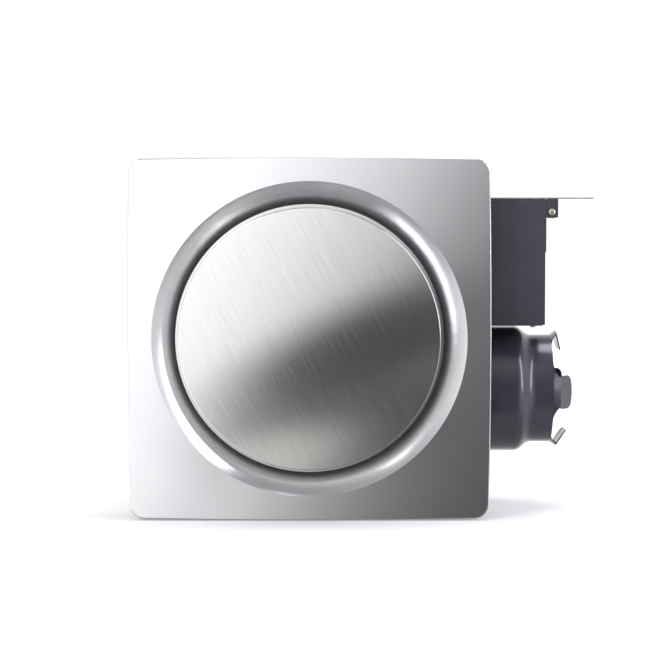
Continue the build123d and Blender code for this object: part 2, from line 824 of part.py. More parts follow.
# ================================================================ control box
# A folded sheet box on the duct side of the housing, with a lift-off cover facing the room.
box_middle = half + box_width / 2
box_middle_z = box_bottom + box_height / 2
cover_front = box_start
tray_front = box_start + sheet
grommet_place = (62.0, 128.0)  # Y and Z, on the box's end wall
capacitor_r = 15.0
capacitor_x = 226.0
capacitor_y = box_back - sheet - capacitor_r - 1.0 - 2 * fit
capacitor_z = 58.0
capacitor_length = 64.0
earth_place = (182.0, 128.0)  # X and Z, on the back wall
block_x = 200.0
block_z = 34.0
block_width = 66.0
block_height = 18.0
block_depth = 14.0
block_ways = 5
block_pitch = 12.0
lug_back = box_start + bar_wall
box_lip = 11.0
cover_screw_x = box_right - 13.0
cover_screw_y = tray_front + 6.0

with BuildPart() as control_box:
    with BuildSketch(across(tray_front)):
        with Locations((box_middle, box_middle_z)):
            Rectangle(box_width, box_height)
    extrude(amount=-(box_depth - sheet))
    fillet(control_box.edges().filter_by(Axis.Y).sort_by(Axis.X)[-2:], 1.6)
    with BuildSketch(across(tray_front)):
        with Locations((box_middle, box_middle_z)):
            Rectangle(box_width - 2 * sheet, box_height - 2 * sheet)
    extrude(amount=-(box_depth - 2 * sheet), mode=Mode.SUBTRACT)
    with BuildSketch(Plane.XY.offset(box_bottom)):
        with Locations((half + 20, cover_screw_y), (cover_screw_x, cover_screw_y)):
            Circle(screw_r + fit)
    extrude(amount=sheet, mode=Mode.SUBTRACT)
    # The ear that the joist bar's lug is screwed to.
    with BuildSketch(across(lug_back)):
        with Locations((box_right + (lug_start + lug_width - box_right) / 2, half - lug_drop / 2)):
            Rectangle(lug_start + lug_width - box_right, lug_drop - 1.0)
        with Locations((lug_screw_x, lug_screw_z)):
            Circle(screw_r + fit, mode=Mode.SUBTRACT)
    extrude(amount=-sheet)
    with BuildSketch(Plane.YZ.offset(half)):
        with Locations((lead_y, lead_z)):
            Circle(lead_hole_r)
        with Locations(*box_screw_places):
            Circle(screw_r + fit)
    extrude(amount=sheet, mode=Mode.SUBTRACT)
    with BuildSketch(Plane.YZ.offset(box_right)):
        with Locations(grommet_place):
            Circle(cable_hole_r)
        with Locations((grommet_place[0], grommet_place[1] - 60)):
            Circle(cable_hole_r)
            Circle(cable_hole_r - 1.2, mode=Mode.SUBTRACT)
    extrude(amount=-0.4, mode=Mode.SUBTRACT)
    with BuildSketch(Plane.YZ.offset(box_right)):
        with Locations(grommet_place):
            Circle(cable_hole_r)
    extrude(amount=-sheet, mode=Mode.SUBTRACT)
    with BuildSketch(across(box_back)):
        with Locations(earth_place):
            Circle(screw_r + fit)
        with Locations((block_x - block_width / 2 + 4, block_z), (block_x + block_width / 2 - 4, block_z)):
            Circle(small_screw_r + fit)
        with Locations((capacitor_x + capacitor_r + 8, capacitor_z + capacitor_length / 2)):
            Circle(small_screw_r + fit)
    extrude(amount=sheet, mode=Mode.SUBTRACT)
save(control_box.part, "control_box")

with BuildPart() as control_box_cover:
    with BuildSketch(across(cover_front)):
        with Locations((box_middle, box_middle_z)):
            Rectangle(box_width, box_height)
    extrude(amount=-sheet)
    # Lips folded back over the box's floor and, near the top, over its end wall.
    with BuildSketch(across(cover_front)):
        with Locations((box_middle, box_bottom - sheet / 2)):
            Rectangle(box_width - 6, sheet)
        with Locations((box_right + sheet / 2, half - 31)):
            Rectangle(sheet, 60)
    extrude(amount=-box_lip)
    with BuildSketch(Plane.XY.offset(box_bottom)):
        with Locations((cover_screw_x, cover_screw_y)):
            Circle(screw_r + fit)
        with Locations((half + 20, cover_screw_y)):
            Circle(screw_r + fit)
    extrude(amount=-sheet, mode=Mode.SUBTRACT)
    with BuildSketch(Plane.YZ.offset(box_right)):
        with Locations((lug_back + sheet / 2, half - lug_drop / 2)):
            Rectangle(sheet + 2 * loose, lug_drop)
    extrude(amount=sheet, mode=Mode.SUBTRACT)
save(control_box_cover.part, "control_box_cover")

with BuildPart() as cover_clips:
    for x in (half + 20, cover_screw_x):
        with BuildSketch(Plane.XY.offset(box_bottom + sheet)):
            with Locations((x, cover_screw_y)):
                RectangleRounded(9.0, 9.0, 1.0)
                Circle(screw_r + fit, mode=Mode.SUBTRACT)
        extrude(amount=2.4)
save(cover_clips.part, "cover_clips")

cover_seats = [
    Plane((x, cover_screw_y, box_bottom - sheet), x_dir=(1, 0, 0), z_dir=(0, 0, -1))
    for x in (half + 20, cover_screw_x)
]
screws("cover_screws", cover_seats, 8.0, screw_r, head_r=3.4)

fixing_seats = [
    Plane((half + sheet, y, z), x_dir=(0, 1, 0), z_dir=(1, 0, 0)) for y, z in box_screw_places
]
screws("control_box_screws", fixing_seats, 7.0, screw_r)

# Supply terminals, on the box's back wall.
block_front = box_back - sheet - block_depth
with BuildPart() as terminal_block:
    with BuildSketch(across(block_front)):
        with Locations((block_x, block_z)):
            Rectangle(block_width, block_height)
    extrude(amount=-block_depth)
    with BuildSketch(across(block_front)):
        with Locations((block_x, block_z)):
            with GridLocations(block_pitch, 0, block_ways - 1, 1):
                Rectangle(1.2, block_height)
    extrude(amount=-5.0, mode=Mode.SUBTRACT)
    with BuildSketch(across(block_front)):
        with Locations((block_x, block_z)):
            with GridLocations(block_pitch, 8.0, block_ways, 2):
                Circle(terminal_head_r + fit)
    extrude(amount=-7.0, mode=Mode.SUBTRACT)
    with BuildSketch(across(block_front)):
        with Locations((block_x, block_z)):
            with GridLocations(block_width - 8, 0, 2, 1):
                Circle(small_screw_r + fit)
    extrude(amount=-block_depth, mode=Mode.SUBTRACT)
save(terminal_block.part, "terminal_block")

terminal_seats = [
    Plane((block_x + way * block_pitch, block_front + 3, block_z + row), x_dir=(1, 0, 0), z_dir=(0, -1, 0))
    for way in range(-(block_ways // 2), block_ways // 2 + 1)
    for row in (-4.0, 4.0)
]
screws("terminal_screws", terminal_seats, 3.5, terminal_screw_r, head_r=terminal_head_r)
block_seats = [
    Plane((x, block_front, block_z), x_dir=(1, 0, 0), z_dir=(0, -1, 0))
    for x in (block_x - block_width / 2 + 4, block_x + block_width / 2 - 4)
]
screws("block_screws", block_seats, block_depth + 4.0, small_screw_r)

with BuildPart() as run_capacitor:
    with BuildSketch(Plane.XY.offset(capacitor_z)):
        with Locations((capacitor_x, capacitor_y)):
            Circle(capacitor_r)
    extrude(amount=capacitor_length)
    fillet(run_capacitor.edges(), 1.5)
    with BuildSketch(Plane.XY.offset(capacitor_z + capacitor_length)):
        with Locations((capacitor_x - 5, capacitor_y), (capacitor_x + 5, capacitor_y)):
            Rectangle(0.8, 6.3)
    extrude(amount=8.0)
save(run_capacitor.part, "run_capacitor")

clip_z = capacitor_z + capacitor_length / 2
with BuildPart() as capacitor_clip:
    with BuildSketch(Plane.XY.offset(clip_z - 7)):
        with Locations((capacitor_x, capacitor_y)):
            Circle(capacitor_r + fit + 1.0)
        with Locations((capacitor_x + capacitor_r / 2 + 8, box_back - sheet - 0.5)):
            Rectangle(capacitor_r + 12, 1.0)
        with Locations((capacitor_x, capacitor_y)):
            Circle(capacitor_r + fit, mode=Mode.SUBTRACT)
    extrude(amount=14.0)
    with BuildSketch(across(box_back - sheet)):
        with Locations((capacitor_x + capacitor_r + 8, clip_z)):
            Circle(small_screw_r + fit)
    extrude(amount=1.0, mode=Mode.SUBTRACT)
save(capacitor_clip.part, "capacitor_clip")
clip_seat = Plane(
    (capacitor_x + capacitor_r + 8, box_back - sheet - 1.0, clip_z), x_dir=(1, 0, 0), z_dir=(0, -1, 0)
)
screws("clip_screw", [clip_seat], 5.0, small_screw_r)
earth_seat = Plane((earth_place[0], box_back - sheet, earth_place[1]), x_dir=(1, 0, 0), z_dir=(0, -1, 0))
screws("earth_screw", [earth_seat], 6.0, screw_r)

# Rubber grommet for the supply cable, in the box's end wall.
with BuildPart() as cable_grommet:
    with BuildSketch(Plane((0, grommet_place[0], grommet_place[1]), x_dir=(1, 0, 0), z_dir=(0, -1, 0))):
        with BuildLine():
            Polyline(
                (box_right - 3.0, 5.0),
                (box_right + 1.0, 5.0),
                (box_right + 1.6, 5.6),
                (box_right + 1.6, cable_hole_r),
                (box_right, cable_hole_r + 1.6),
                (box_right, cable_hole_r - running),
                (box_right - sheet, cable_hole_r - running),
                (box_right - sheet, cable_hole_r + 1.6),
                (box_right - 3.0, cable_hole_r + 0.6),
                (box_right - 3.0, 5.0),
            )
        make_face()
    revolve(axis=Axis((0, grommet_place[0], grommet_place[1]), (1, 0, 0)))
save(cable_grommet.part, "cable_grommet")

# Motor lead: out of the can's end, through the motor plate, down the duct side, to the terminals.
can_y = (motor_cap_back + motor_back) / 2
lead_route = [
    (0, can_y, motor_r),
    (0, can_y, lead_z),
    (lead_x, can_y, lead_z),
    (lead_x, lead_y, lead_z),
    (half + 26, lead_y, lead_z),
    (block_x, block_front + 8, block_z + block_height / 2),
]
lead_radii = [15.0, 14.0, 15.0, 10.0]
with BuildPart() as motor_lead:
    with BuildLine():
        route = FilletPolyline(*lead_route, radius=lead_radii)
    with BuildSketch(Plane(route ^ 0)):
        Circle(lead_r)
    sweep(path=route)
    with BuildSketch(Plane.XY.offset(block_z + block_height / 2)):
        with Locations((block_x, block_front + 8)):
            Rectangle(40, 40)
    extrude(amount=-10, mode=Mode.SUBTRACT)
save(motor_lead.part, "motor_lead")

# Grommets where the lead passes through the motor plate and the two side walls.
with BuildPart() as lead_grommets:
    with BuildSketch(across(scroll_depth - grommet_lip)):
        with Locations((lead_x, lead_z)):
            Circle(lead_hole_r + grommet_lip)
            Circle(lead_r + fit, mode=Mode.SUBTRACT)
    extrude(amount=-grommet_lip)
    with BuildSketch(across(scroll_depth)):
        with Locations((lead_x, lead_z)):
            Circle(lead_hole_r - fit)
            Circle(lead_r + fit, mode=Mode.SUBTRACT)
    extrude(amount=-plate)
    with BuildSketch(Plane.YZ.offset(half - sheet - grommet_lip)):
        with Locations((lead_y, lead_z)):
            Circle(lead_hole_r + grommet_lip)
            Circle(lead_r + fit, mode=Mode.SUBTRACT)
    extrude(amount=grommet_lip)
    with BuildSketch(Plane.YZ.offset(half - sheet)):
        with Locations((lead_y, lead_z)):
            Circle(lead_hole_r - fit)
            Circle(lead_r + fit, mode=Mode.SUBTRACT)
    extrude(amount=2 * sheet)
save(lead_grommets.part, "lead_grommets")

# ================================================================ joist bars
# Flat bars over and under the housing. The upper one carries a lug that the box is screwed to.
hole_near_end = 10.0


def joist_bar(label, side, start, end):
    """Bar on the top (side 1) or bottom (side -1) of the housing, from x = start to x = end."""
    with BuildPart() as bar:
        with BuildSketch(Plane.XY.offset(side * half)):
            with Locations(((start + end) / 2, bar_y)):
                Rectangle(end - start, bar_width)
            with Locations((-bar_screw_x, bar_y), (bar_screw_x, bar_y)):
                Circle(screw_r + fit, mode=Mode.SUBTRACT)
            with Locations((end - hole_near_end, bar_y), (end - hole_near_end - bar_hole_pitch, bar_y)):
                Circle(bar_hole_r, mode=Mode.SUBTRACT)
            with Locations((start + hole_near_end, bar_y)):
                Circle(bar_hole_r, mode=Mode.SUBTRACT)
        extrude(amount=side * bar_wall)
        if side > 0:
            with BuildSketch(across(box_start)):
                with Locations((lug_start + lug_width / 2, half - lug_drop / 2)):
                    Rectangle(lug_width, lug_drop)
            extrude(amount=-bar_wall)
            corner = bar.edges().filter_by(Axis.Y).group_by(Axis.Z)[0].sort_by(Axis.X)
            fillet(corner[-1], 5.0)
            fillet(corner[0], 1.5)
            with BuildSketch(across(box_start)):
                with Locations((lug_screw_x, lug_screw_z)):
                    Circle(screw_r + fit)
            extrude(amount=-bar_wall, mode=Mode.SUBTRACT)
    save(bar.part, label)


joist_bar("joist_bar_upper", 1, -bar_blind_end, bar_duct_end)
joist_bar("joist_bar_lower", -1, -bar_blind_end, bar_blind_end)

bar_seats = [
    Plane((x, bar_y, side * (half + bar_wall)), x_dir=(1, 0, 0), z_dir=(0, 0, side))
    for side in (1, -1)
    for x in (-bar_screw_x, bar_screw_x)
]
screws("bar_screws", bar_seats, 6.0, screw_r)

lug_seat = Plane((lug_screw_x, box_start, lug_screw_z), x_dir=(1, 0, 0), z_dir=(0, -1, 0))
screws("lug_screw", [lug_seat], 7.0, screw_r, head_r=4.0, head_h=2.6)
with BuildPart() as lug_nut:
    with BuildSketch(across(lug_back + sheet)):
        with Locations((lug_screw_x, lug_screw_z)):
            RegularPolygon(3.5, 6, major_radius=False)
            Circle(screw_r + fit, mode=Mode.SUBTRACT)
    extrude(amount=-3.2)
save(lug_nut.part, "lug_nut")

# ================================================================ duct spigot
# Stepped moulding for two duct sizes, with four bent tabs that grip the smaller duct.
gasket_face = half + duct_gasket
flange_face = gasket_face + duct_flange_wall
duct_axis = Axis((0, duct_y, duct_z), (1, 0, 0))
seat_inner_r = duct_large_r - duct_wall - 4.0
seat_face = damper_x - flap_wall / 2 - loose
seat_wall = 2.4
tab_settings = ((0, 40.0), (90, 14.0), (180, 40.0), (270, 36.0))  # angle from Y, paddle's lean

with BuildPart() as spigot_gasket:
    with BuildSketch(Plane.YZ.offset(half)):
        with Locations((duct_y, duct_z)):
            RectangleRounded(duct_flange_side, duct_flange_side, 6.0)
            Circle(duct_large_r - duct_wall, mode=Mode.SUBTRACT)
            with GridLocations(duct_screws, duct_screws, 2, 2):
                Circle(duct_screw_r + fit, mode=Mode.SUBTRACT)
    extrude(amount=duct_gasket)
save(spigot_gasket.part, "spigot_gasket")


def grip_tab(angle, lean):
    """Neck and paddle of one tab, at angle from Y; lean tips the paddle away from the spigot."""
    turn = radians(angle)
    slope = radians(lean)
    outward = Vector(0, cos(turn), sin(turn))
    sideways = Vector(0, -sin(turn), cos(turn))
    downward = Vector(1, 0, 0) * sin(slope) - outward * cos(slope)
    half_swing = degrees(asin(tab_root_half / duct_small_r)) + 1
    crest = Vector(tab_crest_x, tab_crest_r)
    tip = crest + Vector(sin(slope), -cos(slope)) * tab_length
    skin = Vector(-cos(slope), -sin(slope)) * tab_wall
    crest_place = duct_axis.position + Vector(tab_crest_x, 0, 0) + outward * tab_crest_r
    with BuildPart() as neck:
        with BuildSketch(radial_plane(angle - half_swing)):
            with BuildLine():
                Polyline(
                    (duct_small_end - 1, duct_small_r - tab_wall),
                    (duct_small_end, duct_small_r - tab_wall),
                    (tab_crest_x, tab_crest_r - tab_wall),
                    (tab_crest_x, tab_crest_r),
                    (duct_small_end, duct_small_r),
                    (duct_small_end - 1, duct_small_r),
                    (duct_small_end - 1, duct_small_r - tab_wall),
                )
            make_face()
        revolve(axis=duct_axis, revolution_arc=2 * half_swing)
        with BuildSketch(Plane(duct_axis.position, x_dir=(1, 0, 0), z_dir=outward)):
            with BuildLine():
                Line((duct_small_end - 1, -tab_root_half), (duct_small_end - 1, tab_root_half))
                Line((duct_small_end - 1, tab_root_half), (duct_small_end, tab_root_half))
                ThreePointArc(
                    (duct_small_end, tab_root_half),
                    (duct_small_end + 2.4, (tab_root_half + tab_neck_half) / 2 - 1.5),
                    (tab_crest_x, tab_neck_half),
                )
                Line((tab_crest_x, tab_neck_half), (tab_crest_x, -tab_neck_half))
                ThreePointArc(
                    (tab_crest_x, -tab_neck_half),
                    (duct_small_end + 2.4, -(tab_root_half + tab_neck_half) / 2 + 1.5),
                    (duct_small_end, -tab_root_half),
                )
                Line((duct_small_end, -tab_root_half), (duct_small_end - 1, -tab_root_half))
            make_face()
        extrude(amount=tab_crest_r + 5, mode=Mode.INTERSECT)
    with BuildPart() as paddle:
        with BuildSketch(radial_plane(angle - half_swing)):
            with BuildLine():
                Polyline(crest, tip, tip + skin, crest + skin, crest)
            make_face()
        revolve(axis=duct_axis, revolution_arc=2 * half_swing)
        with BuildSketch(Plane(crest_place, x_dir=downward, z_dir=downward.cross(sideways))) as shape:
            with Locations((tab_length / 2, 0)):
                Rectangle(tab_length, 2 * tab_half)
            fillet(shape.vertices(), tab_corner_r)
        extrude(amount=12, both=True, mode=Mode.INTERSECT)
    return [neck.part, paddle.part]


tabs = [piece for angle, lean in tab_settings for piece in grip_tab(angle, lean)]

with BuildPart() as duct_spigot:
    with BuildSketch(Plane.YZ.offset(gasket_face)):
        with Locations((duct_y, duct_z)):
            RectangleRounded(duct_flange_side, duct_flange_side, 6.0)
            with GridLocations(duct_screws, duct_screws, 2, 2):
                Circle(duct_screw_r + fit, mode=Mode.SUBTRACT)
    extrude(amount=duct_flange_wall)
    for inset, mode in ((0, Mode.ADD), (duct_wall, Mode.SUBTRACT)):
        with BuildSketch(radial_plane(0)):
            with BuildLine():
                Polyline(
                    (duct_large_end, duct_large_r - inset),
                    (gasket_face, duct_large_r - inset),
                    (gasket_face, 0),
                    (duct_small_end, 0),
                    (duct_small_end, duct_small_r - inset),
                    (duct_small_start, duct_small_r - inset),
                )
                Spline(
                    (duct_large_end, duct_large_r - inset),
                    (duct_small_start, duct_small_r - inset),
                    tangents=((1, 0), (1, 0)),
                )
            make_face()
        revolve(axis=duct_axis, mode=mode)
    # Lip that the closed damper flaps rest against.
    with BuildSketch(radial_plane(0)):
        with Locations((seat_face - seat_wall / 2, duct_large_r - duct_wall / 2 - 2.0)):
            Rectangle(seat_wall, duct_wall + 3.0)
    revolve(axis=duct_axis)
    for tab in tabs:
        add(tab)
    with BuildSketch(Plane.XY.offset(duct_z)):
        with Locations((damper_x, duct_y)):
            Circle(damper_pin_r + fit)
    extrude(amount=duct_large_r + 1, both=True, mode=Mode.SUBTRACT)
save(duct_spigot.part, "duct_spigot")

spigot_seats = [
    Plane((flange_face, duct_y + y, duct_z + z), x_dir=(0, 1, 0), z_dir=(1, 0, 0))
    for y in (-duct_screws / 2, duct_screws / 2)
    for z in (-duct_screws / 2, duct_screws / 2)
]
screws("spigot_screws", spigot_seats, 9.0, duct_screw_r)

# Damper: two half-disc flaps on one upright pin, which blow open and spring shut.
with BuildPart() as damper_pin:
    with BuildSketch(Plane.XY.offset(duct_z)):
        with Locations((damper_x, duct_y)):
            Circle(damper_pin_r)
    extrude(amount=duct_large_r - 0.2, both=True)
save(damper_pin.part, "damper_pin")

spring_height = 6.0
damper_coil_r = 2.85
with BuildPart() as damper_springs:
    for base in (duct_z + 2 * knuckle + 0.9, duct_z - 2 * knuckle - 0.9 - spring_height):
        with BuildLine(Plane((damper_x, duct_y, base))):
            coil = Helix(pitch=1.2, height=spring_height, radius=damper_coil_r)
        with BuildSketch(Plane(coil ^ 0)):
            Circle(0.4)
        sweep(path=coil)
save(damper_springs.part, "damper_springs")


def damper_flap(label, hand):
    """Half disc with two hinge knuckles: hand is -1 for the room side, 1 for the far side."""
    starts = (-2 * knuckle, 0) if hand < 0 else (-knuckle, knuckle)
    with BuildPart() as flap:
        with BuildSketch(Plane.YZ.offset(damper_x - flap_wall / 2)):
            with Locations((duct_y, duct_z)):
                Circle(flap_r)
            with Locations((duct_y - hand * flap_r, duct_z)):
                Rectangle(2 * flap_r, 2 * flap_r + 2, mode=Mode.SUBTRACT)
            with Locations((duct_y, duct_z)):
                Rectangle(2 * (knuckle_r + loose), 2 * flap_r + 2, mode=Mode.SUBTRACT)
        extrude(amount=flap_wall)
        for start in starts:
            low = duct_z + start + running
            with BuildSketch(Plane.XY.offset(low)):
                with Locations((damper_x, duct_y)):
                    Circle(knuckle_r)
                with Locations((damper_x, duct_y + hand * (knuckle_r + 1) / 2)):
                    Rectangle(flap_wall, knuckle_r + 1)
                with Locations((damper_x, duct_y)):
                    Circle(damper_pin_r + running, mode=Mode.SUBTRACT)
            extrude(amount=knuckle - 2 * running)
    save(flap.part, label)


damper_flap("damper_flap_near", -1)
damper_flap("damper_flap_far", 1)
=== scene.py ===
from math import cos, pi, radians, sin

import bpy
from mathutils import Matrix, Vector


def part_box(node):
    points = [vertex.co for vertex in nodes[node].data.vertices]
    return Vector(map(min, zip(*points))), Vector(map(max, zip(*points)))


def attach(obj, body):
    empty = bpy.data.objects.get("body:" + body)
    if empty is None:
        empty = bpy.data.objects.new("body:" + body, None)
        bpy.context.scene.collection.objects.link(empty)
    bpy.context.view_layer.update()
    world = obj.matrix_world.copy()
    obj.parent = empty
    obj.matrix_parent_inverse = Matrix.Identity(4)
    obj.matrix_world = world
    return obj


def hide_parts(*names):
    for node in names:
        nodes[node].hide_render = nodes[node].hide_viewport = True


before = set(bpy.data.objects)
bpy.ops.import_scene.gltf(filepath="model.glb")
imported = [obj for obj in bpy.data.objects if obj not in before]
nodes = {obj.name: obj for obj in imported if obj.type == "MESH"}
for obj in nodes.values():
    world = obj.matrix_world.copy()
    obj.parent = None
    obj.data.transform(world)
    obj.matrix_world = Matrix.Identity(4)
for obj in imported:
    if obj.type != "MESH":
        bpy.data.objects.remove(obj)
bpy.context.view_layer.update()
MM = 0.001


# ------------------------------------------------------------------ camera
# A long lens, a little above the fascia's middle, so that the square fascia stays square.
# The fan stands on the fascia's lower edge.
fascia_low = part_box("fascia_panel")[0]
FASCIA_FRONT = fascia_low[1]
CAMERA_DISTANCE = 2.5
CAMERA_RISE = radians(3.35)
VIEW_WIDTH = 725 * MM  # what the view covers from side to side at the fascia's front
SENSOR_WIDTH = 36.0
AIM = Vector((14.8 * MM, FASCIA_FRONT, 19.2 * MM))

camera_data = bpy.data.cameras.new("studio_camera")
camera_data.sensor_width = SENSOR_WIDTH
camera_data.lens = SENSOR_WIDTH * CAMERA_DISTANCE / VIEW_WIDTH
camera = bpy.data.objects.new("studio_camera", camera_data)
camera.location = AIM + Vector((0, -cos(CAMERA_RISE), sin(CAMERA_RISE))) * CAMERA_DISTANCE
camera.rotation_euler = (pi / 2 - CAMERA_RISE, 0, 0)
bpy.context.scene.collection.objects.link(camera)
bpy.context.scene.camera = camera
bpy.context.scene.view_settings.view_transform = "Standard"


# ------------------------------------------------------------------ studio
# A white room with soft lamps. Metal sees a room whose ceiling and floor are dim and walls bright,
# and a graded card close in front of the fascia, which only reflections see.
def srgb(code):
    """Linear colour, with alpha, of an sRGB hex value such as "8c8f94"."""
    channels = [int(code[i : i + 2], 16) / 255 for i in (0, 2, 4)]
    linear = [c / 12.92 if c <= 0.04045 else ((c + 0.055) / 1.055) ** 2.4 for c in channels]
    return (*linear, 1.0)


def add_node(tree, kind, inputs=None, **settings):
    """Adds one node, with its settings, and fills its inputs with values or with links."""
    node = tree.nodes.new(kind)
    for name, value in settings.items():
        setattr(node, name, value)
    for name, value in (inputs or {}).items():
        socket = node.inputs[name]
        if isinstance(value, bpy.types.NodeSocket):
            tree.links.new(value, socket)
        else:
            socket.default_value = value
    return node


def new_material(name):
    """An empty material of that name, its tree and its output node."""
    material = bpy.data.materials.new(name)
    material.use_nodes = True
    material.node_tree.nodes.clear()
    return material, material.node_tree, add_node(material.node_tree, "ShaderNodeOutputMaterial")


def set_ramp(node, stops):
    """Gives a ramp these (place, grey value or colour) stops."""
    elements = node.color_ramp.elements
    while len(elements) < len(stops):
        elements.new(0.5)
    for element, (place, value) in zip(elements, stops):
        element.position = place
        element.color = value if isinstance(value, tuple) else (value, value, value, 1.0)


ROOM_LIGHT = 0.62
MIRRORED_LEFT, MIRRORED_RIGHT = 1.15, 0.85  # how bright metal sees the room's walls
MIRRORED_ENDS = 0.33  # the same for its ceiling and floor, as a share of its walls
world = bpy.data.worlds.new("white_studio")
bpy.context.scene.world = world
world.use_nodes = True
sky = world.node_tree
sky.nodes.clear()
rays = add_node(sky, "ShaderNodeLightPath")
gaze = add_node(sky, "ShaderNodeSeparateXYZ", {0: add_node(sky, "ShaderNodeTexCoord").outputs["Generated"]})
sideways = add_node(
    sky,
    "ShaderNodeMapRange",
    {
        "Value": gaze.outputs["X"],
        "From Min": -0.6,
        "From Max": 0.6,
        "To Min": MIRRORED_LEFT,
        "To Max": MIRRORED_RIGHT,
    },
    interpolation_type="SMOOTHSTEP",
)
height = add_node(sky, "ShaderNodeMath", {0: gaze.outputs["Z"]}, operation="ABSOLUTE")
ends = add_node(
    sky,
    "ShaderNodeMapRange",
    {"Value": height.outputs[0], "From Min": 0.2, "From Max": 0.8, "To Min": 1.0, "To Max": MIRRORED_ENDS},
    interpolation_type="SMOOTHSTEP",
)
mirrored = add_node(sky, "ShaderNodeMath", {0: sideways.outputs[0], 1: ends.outputs[0]}, operation="MULTIPLY")
room = add_node(sky, "ShaderNodeBackground", {"Color": (1, 1, 1, 1), "Strength": ROOM_LIGHT})
graded = add_node(sky, "ShaderNodeBackground", {"Color": (1, 1, 1, 1), "Strength": mirrored.outputs[0]})
white = add_node(sky, "ShaderNodeBackground", {"Color": (1, 1, 1, 1), "Strength": 1.0})
for_metal = add_node(
    sky, "ShaderNodeMixShader", {0: rays.outputs["Is Glossy Ray"], 1: room.outputs[0], 2: graded.outputs[0]}
)
see_through = add_node(
    sky,
    "ShaderNodeMath",
    {0: rays.outputs["Is Camera Ray"], 1: rays.outputs["Is Transmission Ray"]},
    operation="MAXIMUM",
)
sky_mix = add_node(
    sky, "ShaderNodeMixShader", {0: see_through.outputs[0], 1: for_metal.outputs[0], 2: white.outputs[0]}
)
add_node(sky, "ShaderNodeOutputWorld", {"Surface": sky_mix.outputs[0]})

FLOOR_SIDE = 30.0
FLOOR_GAP = 0.2 * MM
GLOW_NEAR, GLOW_FAR = 0.36, 0.62  # the paper's own light under the fan and far from it
GLOW_START, GLOW_END = 0.3, 1.6
# The soft shadow before the fascia's lower edge is painted into the paper's glow further down.
PAINTED_SHADOW_REACH = (0.29, 0.13)  # half length and depth of the soft shadow before the fascia
bpy.ops.object.select_all(action="DESELECT")
bpy.ops.mesh.primitive_plane_add(size=FLOOR_SIDE, location=(0, 0, fascia_low[2] - FLOOR_GAP))
floor = bpy.context.object
floor.name = "studio_floor"
floor_paint, tree, output = new_material("white_paper_sweep")
rays = add_node(tree, "ShaderNodeLightPath")
matt = add_node(tree, "ShaderNodeBsdfDiffuse", {"Color": srgb("e4e4e6")})
place = add_node(tree, "ShaderNodeTexCoord").outputs["Object"]
away = add_node(tree, "ShaderNodeVectorMath", {0: place}, operation="LENGTH")
wash = add_node(
    tree,
    "ShaderNodeMapRange",
    {
        "Value": away.outputs["Value"],
        "From Min": GLOW_START,
        "From Max": GLOW_END,
        "To Min": GLOW_NEAR,
        "To Max": GLOW_FAR,
    },
    interpolation_type="SMOOTHSTEP",
)
# Close in front of the fascia's lower edge the paper's glow is cut. Nearest the edge it goes below nothing and takes
# light away: a painted soft shadow.
ahead = add_node(
    tree,
    "ShaderNodeMapping",
    {"Vector": place, "Location": (0, FASCIA_FRONT, 0), "Scale": (*PAINTED_SHADOW_REACH, 1.0)},
    vector_type="TEXTURE",
)
from_edge = add_node(tree, "ShaderNodeVectorMath", {0: ahead.outputs[0]}, operation="LENGTH")
painted_shadow_share = add_node(
    tree,
    "ShaderNodeMapRange",
    {"Value": from_edge.outputs["Value"], "From Min": 0.0, "From Max": 1.0, "To Min": -0.2, "To Max": 1.0},
)
glow_after_painted_shadow = add_node(tree, "ShaderNodeMath", {0: wash.outputs[0], 1: painted_shadow_share.outputs[0]}, operation="MULTIPLY")
glow = add_node(tree, "ShaderNodeEmission", {"Color": (1, 1, 1, 1), "Strength": glow_after_painted_shadow.outputs[0]})
lift = add_node(tree, "ShaderNodeAddShader", {0: matt.outputs[0], 1: glow.outputs[0]})
paper = add_node(
    tree, "ShaderNodeMixShader", {0: rays.outputs["Is Camera Ray"], 1: matt.outputs[0], 2: lift.outputs[0]}
)
tree.links.new(paper.outputs[0], output.inputs["Surface"])
floor.data.materials.append(floor_paint)
floor.visible_glossy = False

CARD_GAP = 0.36  # from the fascia's front to the card
CARD_SIDE = 1.1
CARD_CENTRE_Z = -0.02
CARD_FADE = 0.22  # how far in from its edges the card fades to nothing
CARD_POWER = 1.5
GRADE_TURN = radians(-27)  # direction, from X, in which the card darkens
GRADE_START, GRADE_END = -0.20, 0.33
GRADE = [
    (0.02, 1.0),
    (0.18, 0.85),
    (0.29, 0.71),
    (0.35, 0.62),
    (0.44, 0.53),
    (0.50, 0.41),
    (0.57, 0.31),
    (0.63, 0.24),
    (0.70, 0.17),
    (0.76, 0.11),
    (0.83, 0.073),
    (0.90, 0.043),
    (0.98, 0.03),
]
bpy.ops.object.select_all(action="DESELECT")
bpy.ops.mesh.primitive_plane_add(
    size=CARD_SIDE, location=(0, FASCIA_FRONT - CARD_GAP, CARD_CENTRE_Z), rotation=(pi / 2, 0, 0)
)
card = bpy.context.object
card.name = "reflection_card"
bpy.ops.object.transform_apply(location=True, rotation=True, scale=True)
card_paint, tree, output = new_material("graded_reflection_card")
place = add_node(tree, "ShaderNodeTexCoord").outputs["Object"]
split = add_node(tree, "ShaderNodeSeparateXYZ", {0: place})
across_part = add_node(tree, "ShaderNodeMath", {0: split.outputs["X"], 1: cos(GRADE_TURN)}, operation="MULTIPLY")
along_grade = add_node(
    tree,
    "ShaderNodeMath",
    {0: split.outputs["Z"], 1: sin(GRADE_TURN), 2: across_part.outputs[0]},
    operation="MULTIPLY_ADD",
)
grade = add_node(
    tree, "ShaderNodeMapRange", {"Value": along_grade.outputs[0], "From Min": GRADE_START, "From Max": GRADE_END}
)
grade_ramp = add_node(tree, "ShaderNodeValToRGB", {"Fac": grade.outputs[0]})
set_ramp(grade_ramp, GRADE)


PATCH_EDGE = 1.8  # 1 fades a patch from its middle, more keeps its middle whole


